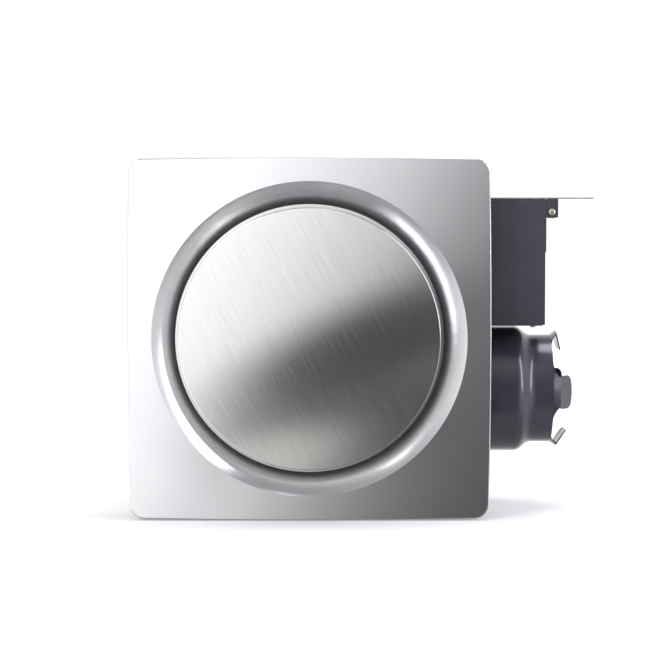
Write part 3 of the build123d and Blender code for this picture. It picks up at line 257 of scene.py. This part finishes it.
def soft_patch(middle, reach, turn, light, beneath):
    """Lays a soft ellipse of one light over a colour of the card, at X and Z, with its half sizes."""
    moved = add_node(
        tree,
        "ShaderNodeMapping",
        {
            "Vector": place,
            "Location": (middle[0], FASCIA_FRONT - CARD_GAP, middle[1]),
            "Rotation": (0, -turn, 0),
            "Scale": (reach[0], 1.0, reach[1]),
        },
        vector_type="TEXTURE",
    )
    ball = add_node(tree, "ShaderNodeTexGradient", {"Vector": moved.outputs[0]}, gradient_type="SPHERICAL")
    share = add_node(
        tree, "ShaderNodeMath", {0: ball.outputs["Fac"], 1: PATCH_EDGE}, operation="MULTIPLY", use_clamp=True
    )
    laid = add_node(tree, "ShaderNodeMix", {0: share.outputs[0], 6: beneath, 7: light}, data_type="RGBA")
    return laid.outputs[2]


# A dark band with a second below it, and a paler patch low on the left, seen in the brushed disc.
DARK_BAND, DARK_BELOW, PALE = (0.04, 0.04, 0.042, 1), (0.055, 0.055, 0.057, 1), (0.50, 0.49, 0.47, 1)
card_light = soft_patch((0.07, -0.035), (0.27, 0.08), radians(23), DARK_BAND, grade_ramp.outputs[0])
card_light = soft_patch((0.06, -0.13), (0.24, 0.075), radians(12), DARK_BELOW, card_light)
card_light = soft_patch((-0.045, -0.172), (0.115, 0.042), radians(8), PALE, card_light)
edge_x = add_node(tree, "ShaderNodeMath", {0: split.outputs["X"]}, operation="ABSOLUTE")
centred_z = add_node(tree, "ShaderNodeMath", {0: split.outputs["Z"], 1: CARD_CENTRE_Z}, operation="SUBTRACT")
edge_z = add_node(tree, "ShaderNodeMath", {0: centred_z.outputs[0]}, operation="ABSOLUTE")
edge = add_node(tree, "ShaderNodeMath", {0: edge_x.outputs[0], 1: edge_z.outputs[0]}, operation="MAXIMUM")
shown = add_node(
    tree,
    "ShaderNodeMapRange",
    {
        "Value": edge.outputs[0],
        "From Min": CARD_SIDE / 2 - CARD_FADE,
        "From Max": CARD_SIDE / 2,
        "To Min": 1.0,
        "To Max": 0.0,
    },
    interpolation_type="SMOOTHSTEP",
)
glow = add_node(tree, "ShaderNodeEmission", {"Color": card_light, "Strength": CARD_POWER})
clear = add_node(tree, "ShaderNodeBsdfTransparent")
card_mix = add_node(tree, "ShaderNodeMixShader", {0: shown.outputs[0], 1: clear.outputs[0], 2: glow.outputs[0]})
tree.links.new(card_mix.outputs[0], output.inputs["Surface"])
card.data.materials.append(card_paint)
for kind in ("camera", "diffuse", "transmission", "shadow", "volume_scatter"):
    setattr(card, f"visible_{kind}", False)


def soft_lamp(name, place, aim, width, height, power, tint="ffffff"):
    """A soft box of that width and height that shines from place towards aim."""
    data = bpy.data.lights.new(name, "AREA")
    data.shape = "RECTANGLE"
    data.size, data.size_y = width, height
    data.energy = power
    data.color = srgb(tint)[:3]
    lamp = bpy.data.objects.new(name, data)
    lamp.location = place
    lamp.rotation_euler = (Vector(aim) - Vector(place)).to_track_quat("-Z", "Y").to_euler()
    lamp.visible_camera = False
    bpy.context.scene.collection.objects.link(lamp)


soft_lamp("key_lamp", (-1.7, -2.0, 1.9), (0.05, 0, 0), 1.3, 1.3, 31.0)
soft_lamp("top_lamp", (0.3, 0.4, 2.3), (0.1, 0.1, 0), 1.2, 1.2, 20.0, "f2f2ff")
soft_lamp("strip_lamp", (2.0, -1.1, 1.0), (0.25, 0.08, -0.06), 0.5, 2.4, 26.0, "f4f4ff")


# ------------------------------------------------------------------ fascia
# One pressing of thin steel: a skirted square pan with a round dished recess.
# It is sprayed with a fine aluminium-flake satin lacquer, which the baking leaves almost smooth.
def per_mm(size):
    """Texture scale, on coordinates in metres, for a pattern that repeats about every size mm."""
    return 1.0 / (size * MM)


def dress(material, *names):
    """Gives the carried-over CAD pieces of those names one finish."""
    for name in names:
        nodes[name].data.materials.clear()
        nodes[name].data.materials.append(material)


def metal_flake_lacquer():
    """Satin silver lacquer: flake sparkle too fine to see singly, and a soft orange peel."""
    material, tree, output = new_material("satin_silver_lacquer")
    place = add_node(tree, "ShaderNodeTexCoord").outputs["Object"]
    # The real flake is near 0.05 mm; it is drawn at 0.9 mm so that it shows at all.
    flake = add_node(tree, "ShaderNodeTexNoise", {"Vector": place, "Scale": per_mm(0.9), "Detail": 2.0})
    cloud = add_node(tree, "ShaderNodeTexNoise", {"Vector": place, "Scale": per_mm(110), "Detail": 2.0})
    peel = add_node(tree, "ShaderNodeTexNoise", {"Vector": place, "Scale": per_mm(6.0), "Detail": 1.0})
    tone = add_node(
        tree, "ShaderNodeMath", {0: flake.outputs["Fac"], 1: 0.35, 2: cloud.outputs["Fac"]}, operation="MULTIPLY_ADD"
    )
    colour = add_node(tree, "ShaderNodeValToRGB", {"Fac": tone.outputs[0]})
    set_ramp(colour, [(0.45, srgb("d9dadd")), (0.95, srgb("e0e1e3"))])
    gloss = add_node(tree, "ShaderNodeMapRange", {"Value": flake.outputs["Fac"], "To Min": 0.22, "To Max": 0.245})
    relief = add_node(
        tree, "ShaderNodeBump", {"Height": peel.outputs["Fac"], "Strength": 0.04, "Distance": 0.02 * MM}
    )
    shader = add_node(
        tree,
        "ShaderNodeBsdfPrincipled",
        {
            "Base Color": colour.outputs[0],
            "Roughness": gloss.outputs[0],
            "Metallic": 0.94,
            "Normal": relief.outputs[0],
        },
    )
    tree.links.new(shader.outputs[0], output.inputs["Surface"])
    return material


dress(metal_flake_lacquer(), "fascia_panel")


# ------------------------------------------------------------------ foam seal
# A strip of black closed-cell foam stuck to the skirt's return lip, pressed on the room surface.
# It is cut from flat sheet as one ring and its open edges bulge a little under load.
SEAL_WIDTH = 8.0 * MM
SEAL_BULGE = 0.5 * MM
seal_low, seal_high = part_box("foam_seal")
seal_depth = seal_high[1] - seal_low[1]
SEAL_CROWN = 2.4 * MM  # how far the middle of each side stands out past its corners
SEAL_CORNER = 15.5 * MM
SEAL_CUTS = 5  # extra points along each stretch, for the crown to bend


def crown_sides(piece, middle, reach, crown):
    """Moves a square ring's points out by crown at the middle of each side and not at its corners."""
    for vertex in piece.data.vertices:
        for axis, other in ((0, 2), (2, 0)):
            away = vertex.co[axis] - middle[axis]
            along = vertex.co[other] - middle[other]
            if abs(away) > abs(along):
                vertex.co[axis] += (crown if away > 0 else -crown) * (1 - (along / reach) ** 2)


seal_middle = [(low + high) / 2 for low, high in zip(seal_low, seal_high)]
seal_half = (seal_high[0] - seal_low[0]) / 2 - SEAL_CROWN
bpy.ops.object.select_all(action="DESELECT")
bpy.ops.mesh.primitive_plane_add(
    size=2 * seal_half, location=(seal_middle[0], seal_low[1], seal_middle[2]), rotation=(pi / 2, 0, 0)
)
foam = bpy.context.object
foam.name = "foam_strip"
bpy.ops.object.transform_apply(location=True, rotation=True, scale=True)
bpy.ops.object.mode_set(mode="EDIT")
bpy.ops.mesh.select_all(action="SELECT")
bpy.ops.mesh.bevel(offset=SEAL_CORNER, segments=8, affect="VERTICES")
bpy.ops.mesh.select_all(action="SELECT")
bpy.ops.mesh.inset(thickness=SEAL_WIDTH)
bpy.ops.mesh.delete(type="FACE")
bpy.ops.mesh.select_all(action="SELECT")
bpy.ops.mesh.subdivide(number_cuts=SEAL_CUTS)
bpy.ops.object.mode_set(mode="OBJECT")
crown_sides(foam, seal_middle, seal_half, SEAL_CROWN)
bpy.ops.object.mode_set(mode="EDIT")
bpy.ops.mesh.select_all(action="SELECT")
bpy.ops.mesh.extrude_region_move(TRANSFORM_OT_translate={"value": (0, seal_depth, 0)})
bpy.ops.mesh.select_all(action="SELECT")
bpy.ops.mesh.normals_make_consistent(inside=False)
bpy.ops.object.mode_set(mode="OBJECT")
rounding = foam.modifiers.new("pressed_edges", "BEVEL")
rounding.width = SEAL_BULGE
rounding.segments = 3
rounding.limit_method = "ANGLE"
rounding.angle_limit = radians(60)
bpy.ops.object.modifier_apply(modifier=rounding.name)
bpy.ops.object.shade_smooth_by_angle(angle=radians(50))


def closed_cell_foam():
    """Black EPDM foam: cells half a millimetre across, dull, with a greyish bloom."""
    material, tree, output = new_material("black_closed_cell_foam")
    place = add_node(tree, "ShaderNodeTexCoord").outputs["Object"]
    cells = add_node(tree, "ShaderNodeTexVoronoi", {"Vector": place, "Scale": per_mm(0.7)})
    bloom = add_node(tree, "ShaderNodeTexNoise", {"Vector": place, "Scale": per_mm(14), "Detail": 3.0})
    tone = add_node(
        tree,
        "ShaderNodeMath",
        {0: cells.outputs["Distance"], 1: 0.5, 2: bloom.outputs["Fac"]},
        operation="MULTIPLY_ADD",
    )
    colour = add_node(tree, "ShaderNodeValToRGB", {"Fac": tone.outputs[0]})
    set_ramp(colour, [(0.4, srgb("1d1e20")), (1.0, srgb("35363a"))])
    relief = add_node(
        tree, "ShaderNodeBump", {"Height": cells.outputs["Distance"], "Strength": 0.6, "Distance": 0.25 * MM}
    )
    shader = add_node(
        tree,
        "ShaderNodeBsdfPrincipled",
        {"Base Color": colour.outputs[0], "Roughness": 0.92, "Normal": relief.outputs[0]},
    )
    tree.links.new(shader.outputs[0], output.inputs["Surface"])
    return material


foam.data.materials.append(closed_cell_foam())
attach(foam, "fascia")
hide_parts("foam_seal")


# ------------------------------------------------------------------ centre disc
# A stamped disc of brushed stainless, with its edge turned back over the moulding behind it.
# The belt leaves straight fine lines, steep and falling to the right; the turned edge is polished.
DISC_SKIN = 0.8 * MM
DISC_EDGE = 1.6 * MM
DISC_SIDES = 144
FACE_BORDER = 0.3 * MM
FLAT_FACE_Y = -0.999  # a face whose normal's Y is below this belongs to the brushed front
BRUSH_TURN = radians(27)  # across the brush lines, from X
disc_low, disc_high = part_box("centre_disc")
bpy.ops.object.select_all(action="DESELECT")
bpy.ops.mesh.primitive_circle_add(
    vertices=DISC_SIDES,
    radius=(disc_high[0] - disc_low[0]) / 2,
    fill_type="NGON",
    location=((disc_low[0] + disc_high[0]) / 2, disc_high[1], (disc_low[2] + disc_high[2]) / 2),
    rotation=(pi / 2, 0, 0),
)
disc = bpy.context.object
disc.name = "brushed_disc"
bpy.ops.object.transform_apply(location=True, rotation=True, scale=True)
bpy.ops.object.mode_set(mode="EDIT")
bpy.ops.mesh.select_all(action="SELECT")
bpy.ops.mesh.extrude_region_move(TRANSFORM_OT_translate={"value": (0, disc_low[1] - disc_high[1], 0)})
bpy.ops.mesh.select_all(action="SELECT")
bpy.ops.mesh.normals_make_consistent(inside=False)
bpy.ops.object.mode_set(mode="OBJECT")
turned_edge = disc.modifiers.new("turned_edge", "BEVEL")
turned_edge.width = DISC_EDGE
turned_edge.segments = 6
turned_edge.limit_method = "ANGLE"
turned_edge.angle_limit = radians(60)
skin = disc.modifiers.new("sheet_thickness", "SOLIDIFY")
skin.thickness = DISC_SKIN
skin.offset = -1.0
for modifier in (turned_edge.name, skin.name):
    bpy.ops.object.modifier_apply(modifier=modifier)
# A narrow ring inside the face's border keeps the face's own shading flat.
bpy.ops.object.mode_set(mode="EDIT")
bpy.ops.mesh.select_mode(type="FACE")
bpy.ops.mesh.select_all(action="DESELECT")
bpy.ops.object.mode_set(mode="OBJECT")
for face in disc.data.polygons:
    face.select = len(face.vertices) > 4
bpy.ops.object.mode_set(mode="EDIT")
bpy.ops.mesh.inset(thickness=FACE_BORDER, use_individual=True)
bpy.ops.object.mode_set(mode="OBJECT")
bpy.ops.object.shade_smooth_by_angle(angle=radians(35))
brush_map = disc.data.uv_layers.new(name="across_and_along_brush")
for loop in disc.data.loops:
    point = disc.data.vertices[loop.vertex_index].co
    brush_map.data[loop.index].uv = (
        point.x * cos(BRUSH_TURN) + point.z * sin(BRUSH_TURN),
        point.z * cos(BRUSH_TURN) - point.x * sin(BRUSH_TURN),
    )


def brushed_stainless():
    """Belt-ground 304 stainless: long hairlines that stretch every reflection across themselves."""
    material, tree, output = new_material("brushed_stainless_304")
    lay = add_node(tree, "ShaderNodeUVMap", uv_map="across_and_along_brush").outputs["UV"]
    # Hairlines are near 0.1 mm wide; they are drawn 0.9 mm wide and 45 mm long so that they show.
    fine = add_node(
        tree, "ShaderNodeMapping", {"Vector": lay, "Scale": (per_mm(0.9), per_mm(45), 1.0)}, vector_type="POINT"
    )
    hairlines = add_node(tree, "ShaderNodeTexNoise", {"Vector": fine.outputs[0], "Scale": 1.0, "Detail": 3.0})
    broad = add_node(
        tree, "ShaderNodeMapping", {"Vector": lay, "Scale": (per_mm(7), per_mm(260), 1.0)}, vector_type="POINT"
    )
    bands = add_node(tree, "ShaderNodeTexNoise", {"Vector": broad.outputs[0], "Scale": 1.0, "Detail": 2.0})
    tone = add_node(
        tree,
        "ShaderNodeMath",
        {0: bands.outputs["Fac"], 1: 0.25, 2: hairlines.outputs["Fac"]},
        operation="MULTIPLY_ADD",
    )
    colour = add_node(tree, "ShaderNodeValToRGB", {"Fac": tone.outputs[0]})
    set_ramp(colour, [(0.35, srgb("d3d3d3")), (0.9, srgb("e4e4e3"))])
    gloss = add_node(tree, "ShaderNodeMapRange", {"Value": hairlines.outputs["Fac"], "To Min": 0.17, "To Max": 0.22})
    relief = add_node(
        tree, "ShaderNodeBump", {"Height": hairlines.outputs["Fac"], "Strength": 0.25, "Distance": 0.01 * MM}
    )
    along = add_node(tree, "ShaderNodeTangent", direction_type="UV_MAP", uv_map="across_and_along_brush")
    shader = add_node(
        tree,
        "ShaderNodeBsdfPrincipled",
        {
            "Base Color": colour.outputs[0],
            "Roughness": gloss.outputs[0],
            "Metallic": 1.0,
            "Anisotropic": 0.8,
            "Tangent": along.outputs[0],
            "Normal": relief.outputs[0],
        },
    )
    tree.links.new(shader.outputs[0], output.inputs["Surface"])
    return material


def metal_finish(name, light, dark, grain_mm, roughness, relief_mm=0.01, drawn=(1, 1, 1), metallic=1.0):
    """Bare or plated metal: slow tone patches, a grain drawn out along an axis, and small scuffs."""
    material, tree, output = new_material(name)
    place = add_node(tree, "ShaderNodeTexCoord").outputs["Object"]
    cloud = add_node(
        tree, "ShaderNodeTexNoise", {"Vector": place, "Scale": per_mm(22 * grain_mm), "Detail": 3.0}
    )
    stretched = add_node(tree, "ShaderNodeMapping", {"Vector": place, "Scale": drawn})
    grain = add_node(
        tree, "ShaderNodeTexNoise", {"Vector": stretched.outputs[0], "Scale": per_mm(grain_mm), "Detail": 3.0}
    )
    scuffs = add_node(
        tree, "ShaderNodeTexNoise", {"Vector": place, "Scale": per_mm(5 * grain_mm), "Detail": 6.0, "Distortion": 1.2}
    )
    tone = add_node(
        tree, "ShaderNodeMath", {0: grain.outputs["Fac"], 1: 0.6, 2: cloud.outputs["Fac"]}, operation="MULTIPLY_ADD"
    )
    colour = add_node(tree, "ShaderNodeValToRGB", {"Fac": tone.outputs[0]})
    set_ramp(colour, [(0.5, srgb(dark)), (1.0, srgb(light))])
    gloss = add_node(
        tree,
        "ShaderNodeMapRange",
        {
            "Value": scuffs.outputs["Fac"],
            "From Min": 0.3,
            "From Max": 0.7,
            "To Min": roughness - 0.05,
            "To Max": roughness + 0.08,
        },
    )
    relief = add_node(
        tree, "ShaderNodeBump", {"Height": grain.outputs["Fac"], "Strength": 0.3, "Distance": relief_mm * MM}
    )
    shader = add_node(
        tree,
        "ShaderNodeBsdfPrincipled",
        {
            "Base Color": colour.outputs[0],
            "Roughness": gloss.outputs[0],
            "Metallic": metallic,
            "Normal": relief.outputs[0],
        },
    )
    tree.links.new(shader.outputs[0], output.inputs["Surface"])
    return material


disc.data.materials.append(brushed_stainless())
disc.data.materials.append(metal_finish("polished_stainless_edge", "e9e9e8", "dcdcdb", 0.6, 0.14))
for face in disc.data.polygons:
    face.material_index = 0 if face.normal.y < FLAT_FACE_Y else 1
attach(disc, "fascia")
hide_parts("centre_disc")


# ------------------------------------------------------------------ disc backing and its screws
# A ribbed black ABS moulding under the disc; its four posts hold the disc off the fascia.
# Four bright zinc screws come up through the fascia's recess into the posts.
def moulded_plastic(name, light, dark, texture_mm, roughness, relief_mm, coat=0.0):
    """Injection moulding: spark-eroded tool texture, slow flow marks, and a shine that varies a little."""
    material, tree, output = new_material(name)
    place = add_node(tree, "ShaderNodeTexCoord").outputs["Object"]
    flow = add_node(
        tree, "ShaderNodeTexNoise", {"Vector": place, "Scale": per_mm(45), "Detail": 2.0, "Distortion": 0.8}
    )
    texture = add_node(tree, "ShaderNodeTexNoise", {"Vector": place, "Scale": per_mm(texture_mm), "Detail": 4.0})
    tone = add_node(
        tree, "ShaderNodeMath", {0: texture.outputs["Fac"], 1: 0.4, 2: flow.outputs["Fac"]}, operation="MULTIPLY_ADD"
    )
    colour = add_node(tree, "ShaderNodeValToRGB", {"Fac": tone.outputs[0]})
    set_ramp(colour, [(0.45, srgb(dark)), (0.95, srgb(light))])
    gloss = add_node(
        tree,
        "ShaderNodeMapRange",
        {
            "Value": flow.outputs["Fac"],
            "From Min": 0.3,
            "From Max": 0.7,
            "To Min": roughness - 0.04,
            "To Max": roughness + 0.05,
        },
    )
    relief = add_node(
        tree, "ShaderNodeBump", {"Height": texture.outputs["Fac"], "Strength": 0.3, "Distance": relief_mm * MM}
    )
    shader = add_node(
        tree,
        "ShaderNodeBsdfPrincipled",
        {
            "Base Color": colour.outputs[0],
            "Roughness": gloss.outputs[0],
            "Coat Weight": coat,
            "Coat Roughness": 0.22,
            "Normal": relief.outputs[0],
        },
    )
    tree.links.new(shader.outputs[0], output.inputs["Surface"])
    return material


BRIGHT_ZINC = metal_finish("bright_zinc_plate", "cfceca", "b2b1ab", 0.5, 0.27)
dress(moulded_plastic("moulded_black_abs", "29292d", "1d1d20", 1.0, 0.48, 0.04), "disc_backing")
dress(BRIGHT_ZINC, "disc_screws")


# ------------------------------------------------------------------ fascia springs
# Folded zinc-plated brackets riveted to the back of the recess, one above and one below.
# Each holds a torsion spring of drawn stainless wire, whose two legs snap into the inlet plate.
SPRING_WIRE = metal_finish("drawn_stainless_wire", "c2c0bb", "a09e99", 0.4, 0.24)
dress(BRIGHT_ZINC, "spring_brackets")
dress(metal_finish("aluminium_rivets", "cdced0", "b4b5b8", 0.5, 0.34), "bracket_rivets")
dress(SPRING_WIRE, "spring_coils", "spring_legs_duct_side", "spring_legs_blind_side")


# ------------------------------------------------------------------ housing and inlet plate
# A folded and spot-welded box of 1 mm hot-dip galvanised steel, with pressed ribs and knockouts.
# The inlet plate inside, with its drawn bell mouth, is cut from the same coil.
def galvanised_sheet():
    """Hot-dip zinc on steel: crystal spangle a few mm across, each flake with its own grey and shine."""
    material, tree, output = new_material("hot_dip_galvanised_sheet")
    place = add_node(tree, "ShaderNodeTexCoord").outputs["Object"]
    wander = add_node(tree, "ShaderNodeTexNoise", {"Vector": place, "Scale": per_mm(9), "Detail": 2.0})
    bent = add_node(
        tree,
        "ShaderNodeMix",
        {0: 0.0022, 4: place, 5: wander.outputs["Color"]},
        data_type="VECTOR",
    )
    # Spangle on this sheet is 6 to 10 mm across, as on common building coil.
    flakes = add_node(tree, "ShaderNodeTexVoronoi", {"Vector": bent.outputs[1], "Scale": per_mm(8)})
    frost = add_node(tree, "ShaderNodeTexVoronoi", {"Vector": bent.outputs[1], "Scale": per_mm(2.6)})
    flake_tone = add_node(tree, "ShaderNodeSeparateColor", {0: flakes.outputs["Color"]})
    frost_tone = add_node(tree, "ShaderNodeSeparateColor", {0: frost.outputs["Color"]})
    cloud = add_node(tree, "ShaderNodeTexNoise", {"Vector": place, "Scale": per_mm(75), "Detail": 5.0})
    mixed = add_node(
        tree, "ShaderNodeMath", {0: flake_tone.outputs[0], 1: 0.30, 2: cloud.outputs["Fac"]}, operation="MULTIPLY_ADD"
    )
    mixed = add_node(
        tree, "ShaderNodeMath", {0: frost_tone.outputs[0], 1: 0.12, 2: mixed.outputs[0]}, operation="MULTIPLY_ADD"
    )
    colour = add_node(tree, "ShaderNodeValToRGB", {"Fac": mixed.outputs[0]})
    set_ramp(colour, [(0.35, srgb("8f9294")), (0.95, srgb("bcbfc0"))])
    gloss = add_node(tree, "ShaderNodeMapRange", {"Value": flake_tone.outputs[1], "To Min": 0.30, "To Max": 0.50})
    relief = add_node(
        tree, "ShaderNodeBump", {"Height": flakes.outputs["Distance"], "Strength": 0.12, "Distance": 0.04 * MM}
    )
    shader = add_node(
        tree,
        "ShaderNodeBsdfPrincipled",
        {
            "Base Color": colour.outputs[0],
            "Roughness": gloss.outputs[0],
            "Metallic": 0.88,
            "Normal": relief.outputs[0],
        },
    )
    tree.links.new(shader.outputs[0], output.inputs["Surface"])
    return material


GALVANISED = galvanised_sheet()
dress(GALVANISED, "housing_shell", "inlet_plate", "inlet_brackets")
dress(BRIGHT_ZINC, "inlet_screws")


# ------------------------------------------------------------------ scroll
# One galvanised strip bent to the spiral, a flat back plate that carries the motor,
# and four turned aluminium spacers that clamp the two plates together.
dress(GALVANISED, "scroll_strip", "motor_plate")
dress(metal_finish("turned_aluminium", "c6c7c9", "abacae", 0.45, 0.32, drawn=(1, 6, 1)), "scroll_spacers")
dress(BRIGHT_ZINC, "spacer_screws")


# ------------------------------------------------------------------ motor
# An induction motor: a drawn aluminium can and front cap round a stack of steel laminations.
# Its windings are varnished copper, it turns in two ball bearings, and rubber bushes carry it.
MILL_ALUMINIUM = metal_finish("drawn_aluminium", "bfc0c2", "a7a8ab", 0.8, 0.36, drawn=(1, 4, 1))
GROUND_STEEL = metal_finish("ground_steel", "a2a3a6", "8a8b8f", 0.4, 0.26, drawn=(1, 8, 1))
BLACK_RUBBER = moulded_plastic("black_epdm_rubber", "2b2b2c", "1f1f20", 0.8, 0.7, 0.08)


def varnished_windings():
    """Enamelled copper wire, laid round and round, under an amber dipping varnish."""
    material, tree, output = new_material("varnished_copper_windings")
    place = add_node(tree, "ShaderNodeTexCoord").outputs["Object"]
    # Wire of 0.3 mm, drawn at 0.9 mm so that its turns show.
    turns = add_node(
        tree,
        "ShaderNodeTexWave",
        {"Vector": place, "Scale": per_mm(0.9) / (2 * pi), "Distortion": 1.5, "Detail": 2.0, "Detail Scale": 0.4},
        wave_type="RINGS",
        rings_direction="Y",
    )
    colour = add_node(tree, "ShaderNodeValToRGB", {"Fac": turns.outputs["Fac"]})
    set_ramp(colour, [(0.1, srgb("6e3414")), (0.8, srgb("b4672f"))])
    relief = add_node(
        tree, "ShaderNodeBump", {"Height": turns.outputs["Fac"], "Strength": 0.7, "Distance": 0.3 * MM}
    )
    shader = add_node(
        tree,
        "ShaderNodeBsdfPrincipled",
        {
            "Base Color": colour.outputs[0],
            "Roughness": 0.32,
            "Metallic": 0.7,
            "Coat Weight": 0.5,
            "Coat Roughness": 0.2,
            "Normal": relief.outputs[0],
        },
    )
    tree.links.new(shader.outputs[0], output.inputs["Surface"])
    return material


dress(MILL_ALUMINIUM, "motor_can", "motor_front_cap")
dress(metal_finish("stacked_laminations", "8d8c8c", "5f5e60", 0.5, 0.42, 0.1, drawn=(0.1, 1, 0.1)), "stator_core")
dress(varnished_windings(), "stator_windings")
dress(GROUND_STEEL, "motor_bearings", "motor_rotor", "motor_shaft")
dress(BLACK_RUBBER, "motor_bushes")
dress(BRIGHT_ZINC, "motor_screws")


# ------------------------------------------------------------------ wheel
# A forward-curved wheel: 32 blades staked between a rim ring and a back plate of galvanised steel.
# A turned hub riveted to the back plate is held on the shaft by a grub screw and a nut.
dress(GALVANISED, "impeller_blades", "impeller_shroud", "impeller_back")
dress(MILL_ALUMINIUM, "impeller_hub")
dress(metal_finish("black_oxide_steel", "3a3a3c", "2a2a2c", 0.4, 0.38), "hub_grub_screw")
dress(BRIGHT_ZINC, "shaft_nut")


# ------------------------------------------------------------------ control box
# A folded steel tray screwed to the housing's side, and its lift-off cover facing the room.
# Both are powder coated slate grey, semi-gloss, with the coating's fine orange peel.
def slate_powder_coat(name, light, dark):
    """Baked polyester powder on steel: orange peel some 2 mm across and a fine dusty speckle."""
    material, tree, output = new_material(name)
    place = add_node(tree, "ShaderNodeTexCoord").outputs["Object"]
    peel = add_node(tree, "ShaderNodeTexNoise", {"Vector": place, "Scale": per_mm(2.2), "Detail": 1.0})
    speckle = add_node(tree, "ShaderNodeTexNoise", {"Vector": place, "Scale": per_mm(0.7), "Detail": 4.0})
    cloud = add_node(tree, "ShaderNodeTexNoise", {"Vector": place, "Scale": per_mm(55), "Detail": 3.0})
    tone = add_node(
        tree, "ShaderNodeMath", {0: speckle.outputs["Fac"], 1: 0.5, 2: cloud.outputs["Fac"]}, operation="MULTIPLY_ADD"
    )
    colour = add_node(tree, "ShaderNodeValToRGB", {"Fac": tone.outputs[0]})
    set_ramp(colour, [(0.5, srgb(dark)), (1.0, srgb(light))])
    gloss = add_node(tree, "ShaderNodeMapRange", {"Value": speckle.outputs["Fac"], "To Min": 0.34, "To Max": 0.46})
    relief = add_node(
        tree, "ShaderNodeBump", {"Height": peel.outputs["Fac"], "Strength": 0.25, "Distance": 0.05 * MM}
    )
    shader = add_node(
        tree,
        "ShaderNodeBsdfPrincipled",
        {
            "Base Color": colour.outputs[0],
            "Roughness": gloss.outputs[0],
            "Coat Weight": 0.15,
            "Coat Roughness": 0.3,
            "Normal": relief.outputs[0],
        },
    )
    tree.links.new(shader.outputs[0], output.inputs["Surface"])
    return material


SLATE_COAT = slate_powder_coat("slate_powder_coat", "41414b", "36363f")
CREAM_SCREW = metal_finish("yellow_passivated_zinc", "f2ebd8", "dccfb0", 0.35, 0.34)
dress(SLATE_COAT, "control_box", "control_box_cover")
dress(CREAM_SCREW, "cover_screws")
dress(SPRING_WIRE, "cover_clips")
dress(BRIGHT_ZINC, "control_box_screws")


# ------------------------------------------------------------------ wiring inside the box
# A pale glass-filled nylon terminal block with steel clamp screws, a run capacitor in a white case
# under a steel clip, and the earth screw. The cable's grommet and the lead's grommets are rubber.
PALE_NYLON = moulded_plastic("pale_glass_filled_nylon", "dedbd0", "cdc9bc", 1.2, 0.45, 0.03)
dress(PALE_NYLON, "terminal_block")
dress(moulded_plastic("white_capacitor_case", "e4e3df", "d8d7d2", 1.6, 0.34, 0.02, coat=0.2), "run_capacitor")
dress(BRIGHT_ZINC, "terminal_screws", "block_screws", "clip_screw", "capacitor_clip")
dress(CREAM_SCREW, "earth_screw")
dress(BLACK_RUBBER, "cable_grommet", "lead_grommets")
dress(moulded_plastic("grey_pvc_sheath", "97989a", "85868a", 0.9, 0.42, 0.03), "motor_lead")


# ------------------------------------------------------------------ joist bars
# Plain galvanised steel bars over and under the housing; the upper one has a lug welded on,
# which is coated slate like the box. Yellow-passivated screw and plated nut join lug and box.
bar_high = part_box("joist_bar_upper")[1]
BAR_WALL = 1.2 * MM
bar = nodes["joist_bar_upper"]
bar.data.materials.clear()
bar.data.materials.append(GALVANISED)
bar.data.materials.append(SLATE_COAT)
# The lug's faces lie wholly below the bar's upper skin and reach well below the bar.
for face in bar.data.polygons:
    heights = [bar.data.vertices[i].co.z for i in face.vertices]
    if max(heights) < bar_high[2] - BAR_WALL / 2 and min(heights) < bar_high[2] - 2 * BAR_WALL:
        face.material_index = 1
dress(GALVANISED, "joist_bar_lower")
dress(BRIGHT_ZINC, "bar_screws", "lug_nut")
dress(CREAM_SCREW, "lug_screw")


# ------------------------------------------------------------------ duct spigot
# A stepped polypropylene moulding for two duct sizes, slate grey and glossy from a polished tool,
# with four bent grip tabs. It is screwed to the housing over a foam-rubber gasket.
dress(moulded_plastic("slate_polypropylene", "41414e", "373742", 1.8, 0.22, 0.006, coat=0.9), "duct_spigot")
dress(BLACK_RUBBER, "spigot_gasket")
dress(BRIGHT_ZINC, "spigot_screws")


# ------------------------------------------------------------------ damper
# Two half-disc flaps of black ABS on one upright stainless pin, blown open by the air
# and shut again by two small torsion springs of stainless wire.
dress(moulded_plastic("damper_flap_abs", "26262a", "1b1b1e", 1.4, 0.4, 0.03), "damper_flap_near", "damper_flap_far")
dress(GROUND_STEEL, "damper_pin")
dress(SPRING_WIRE, "damper_springs")
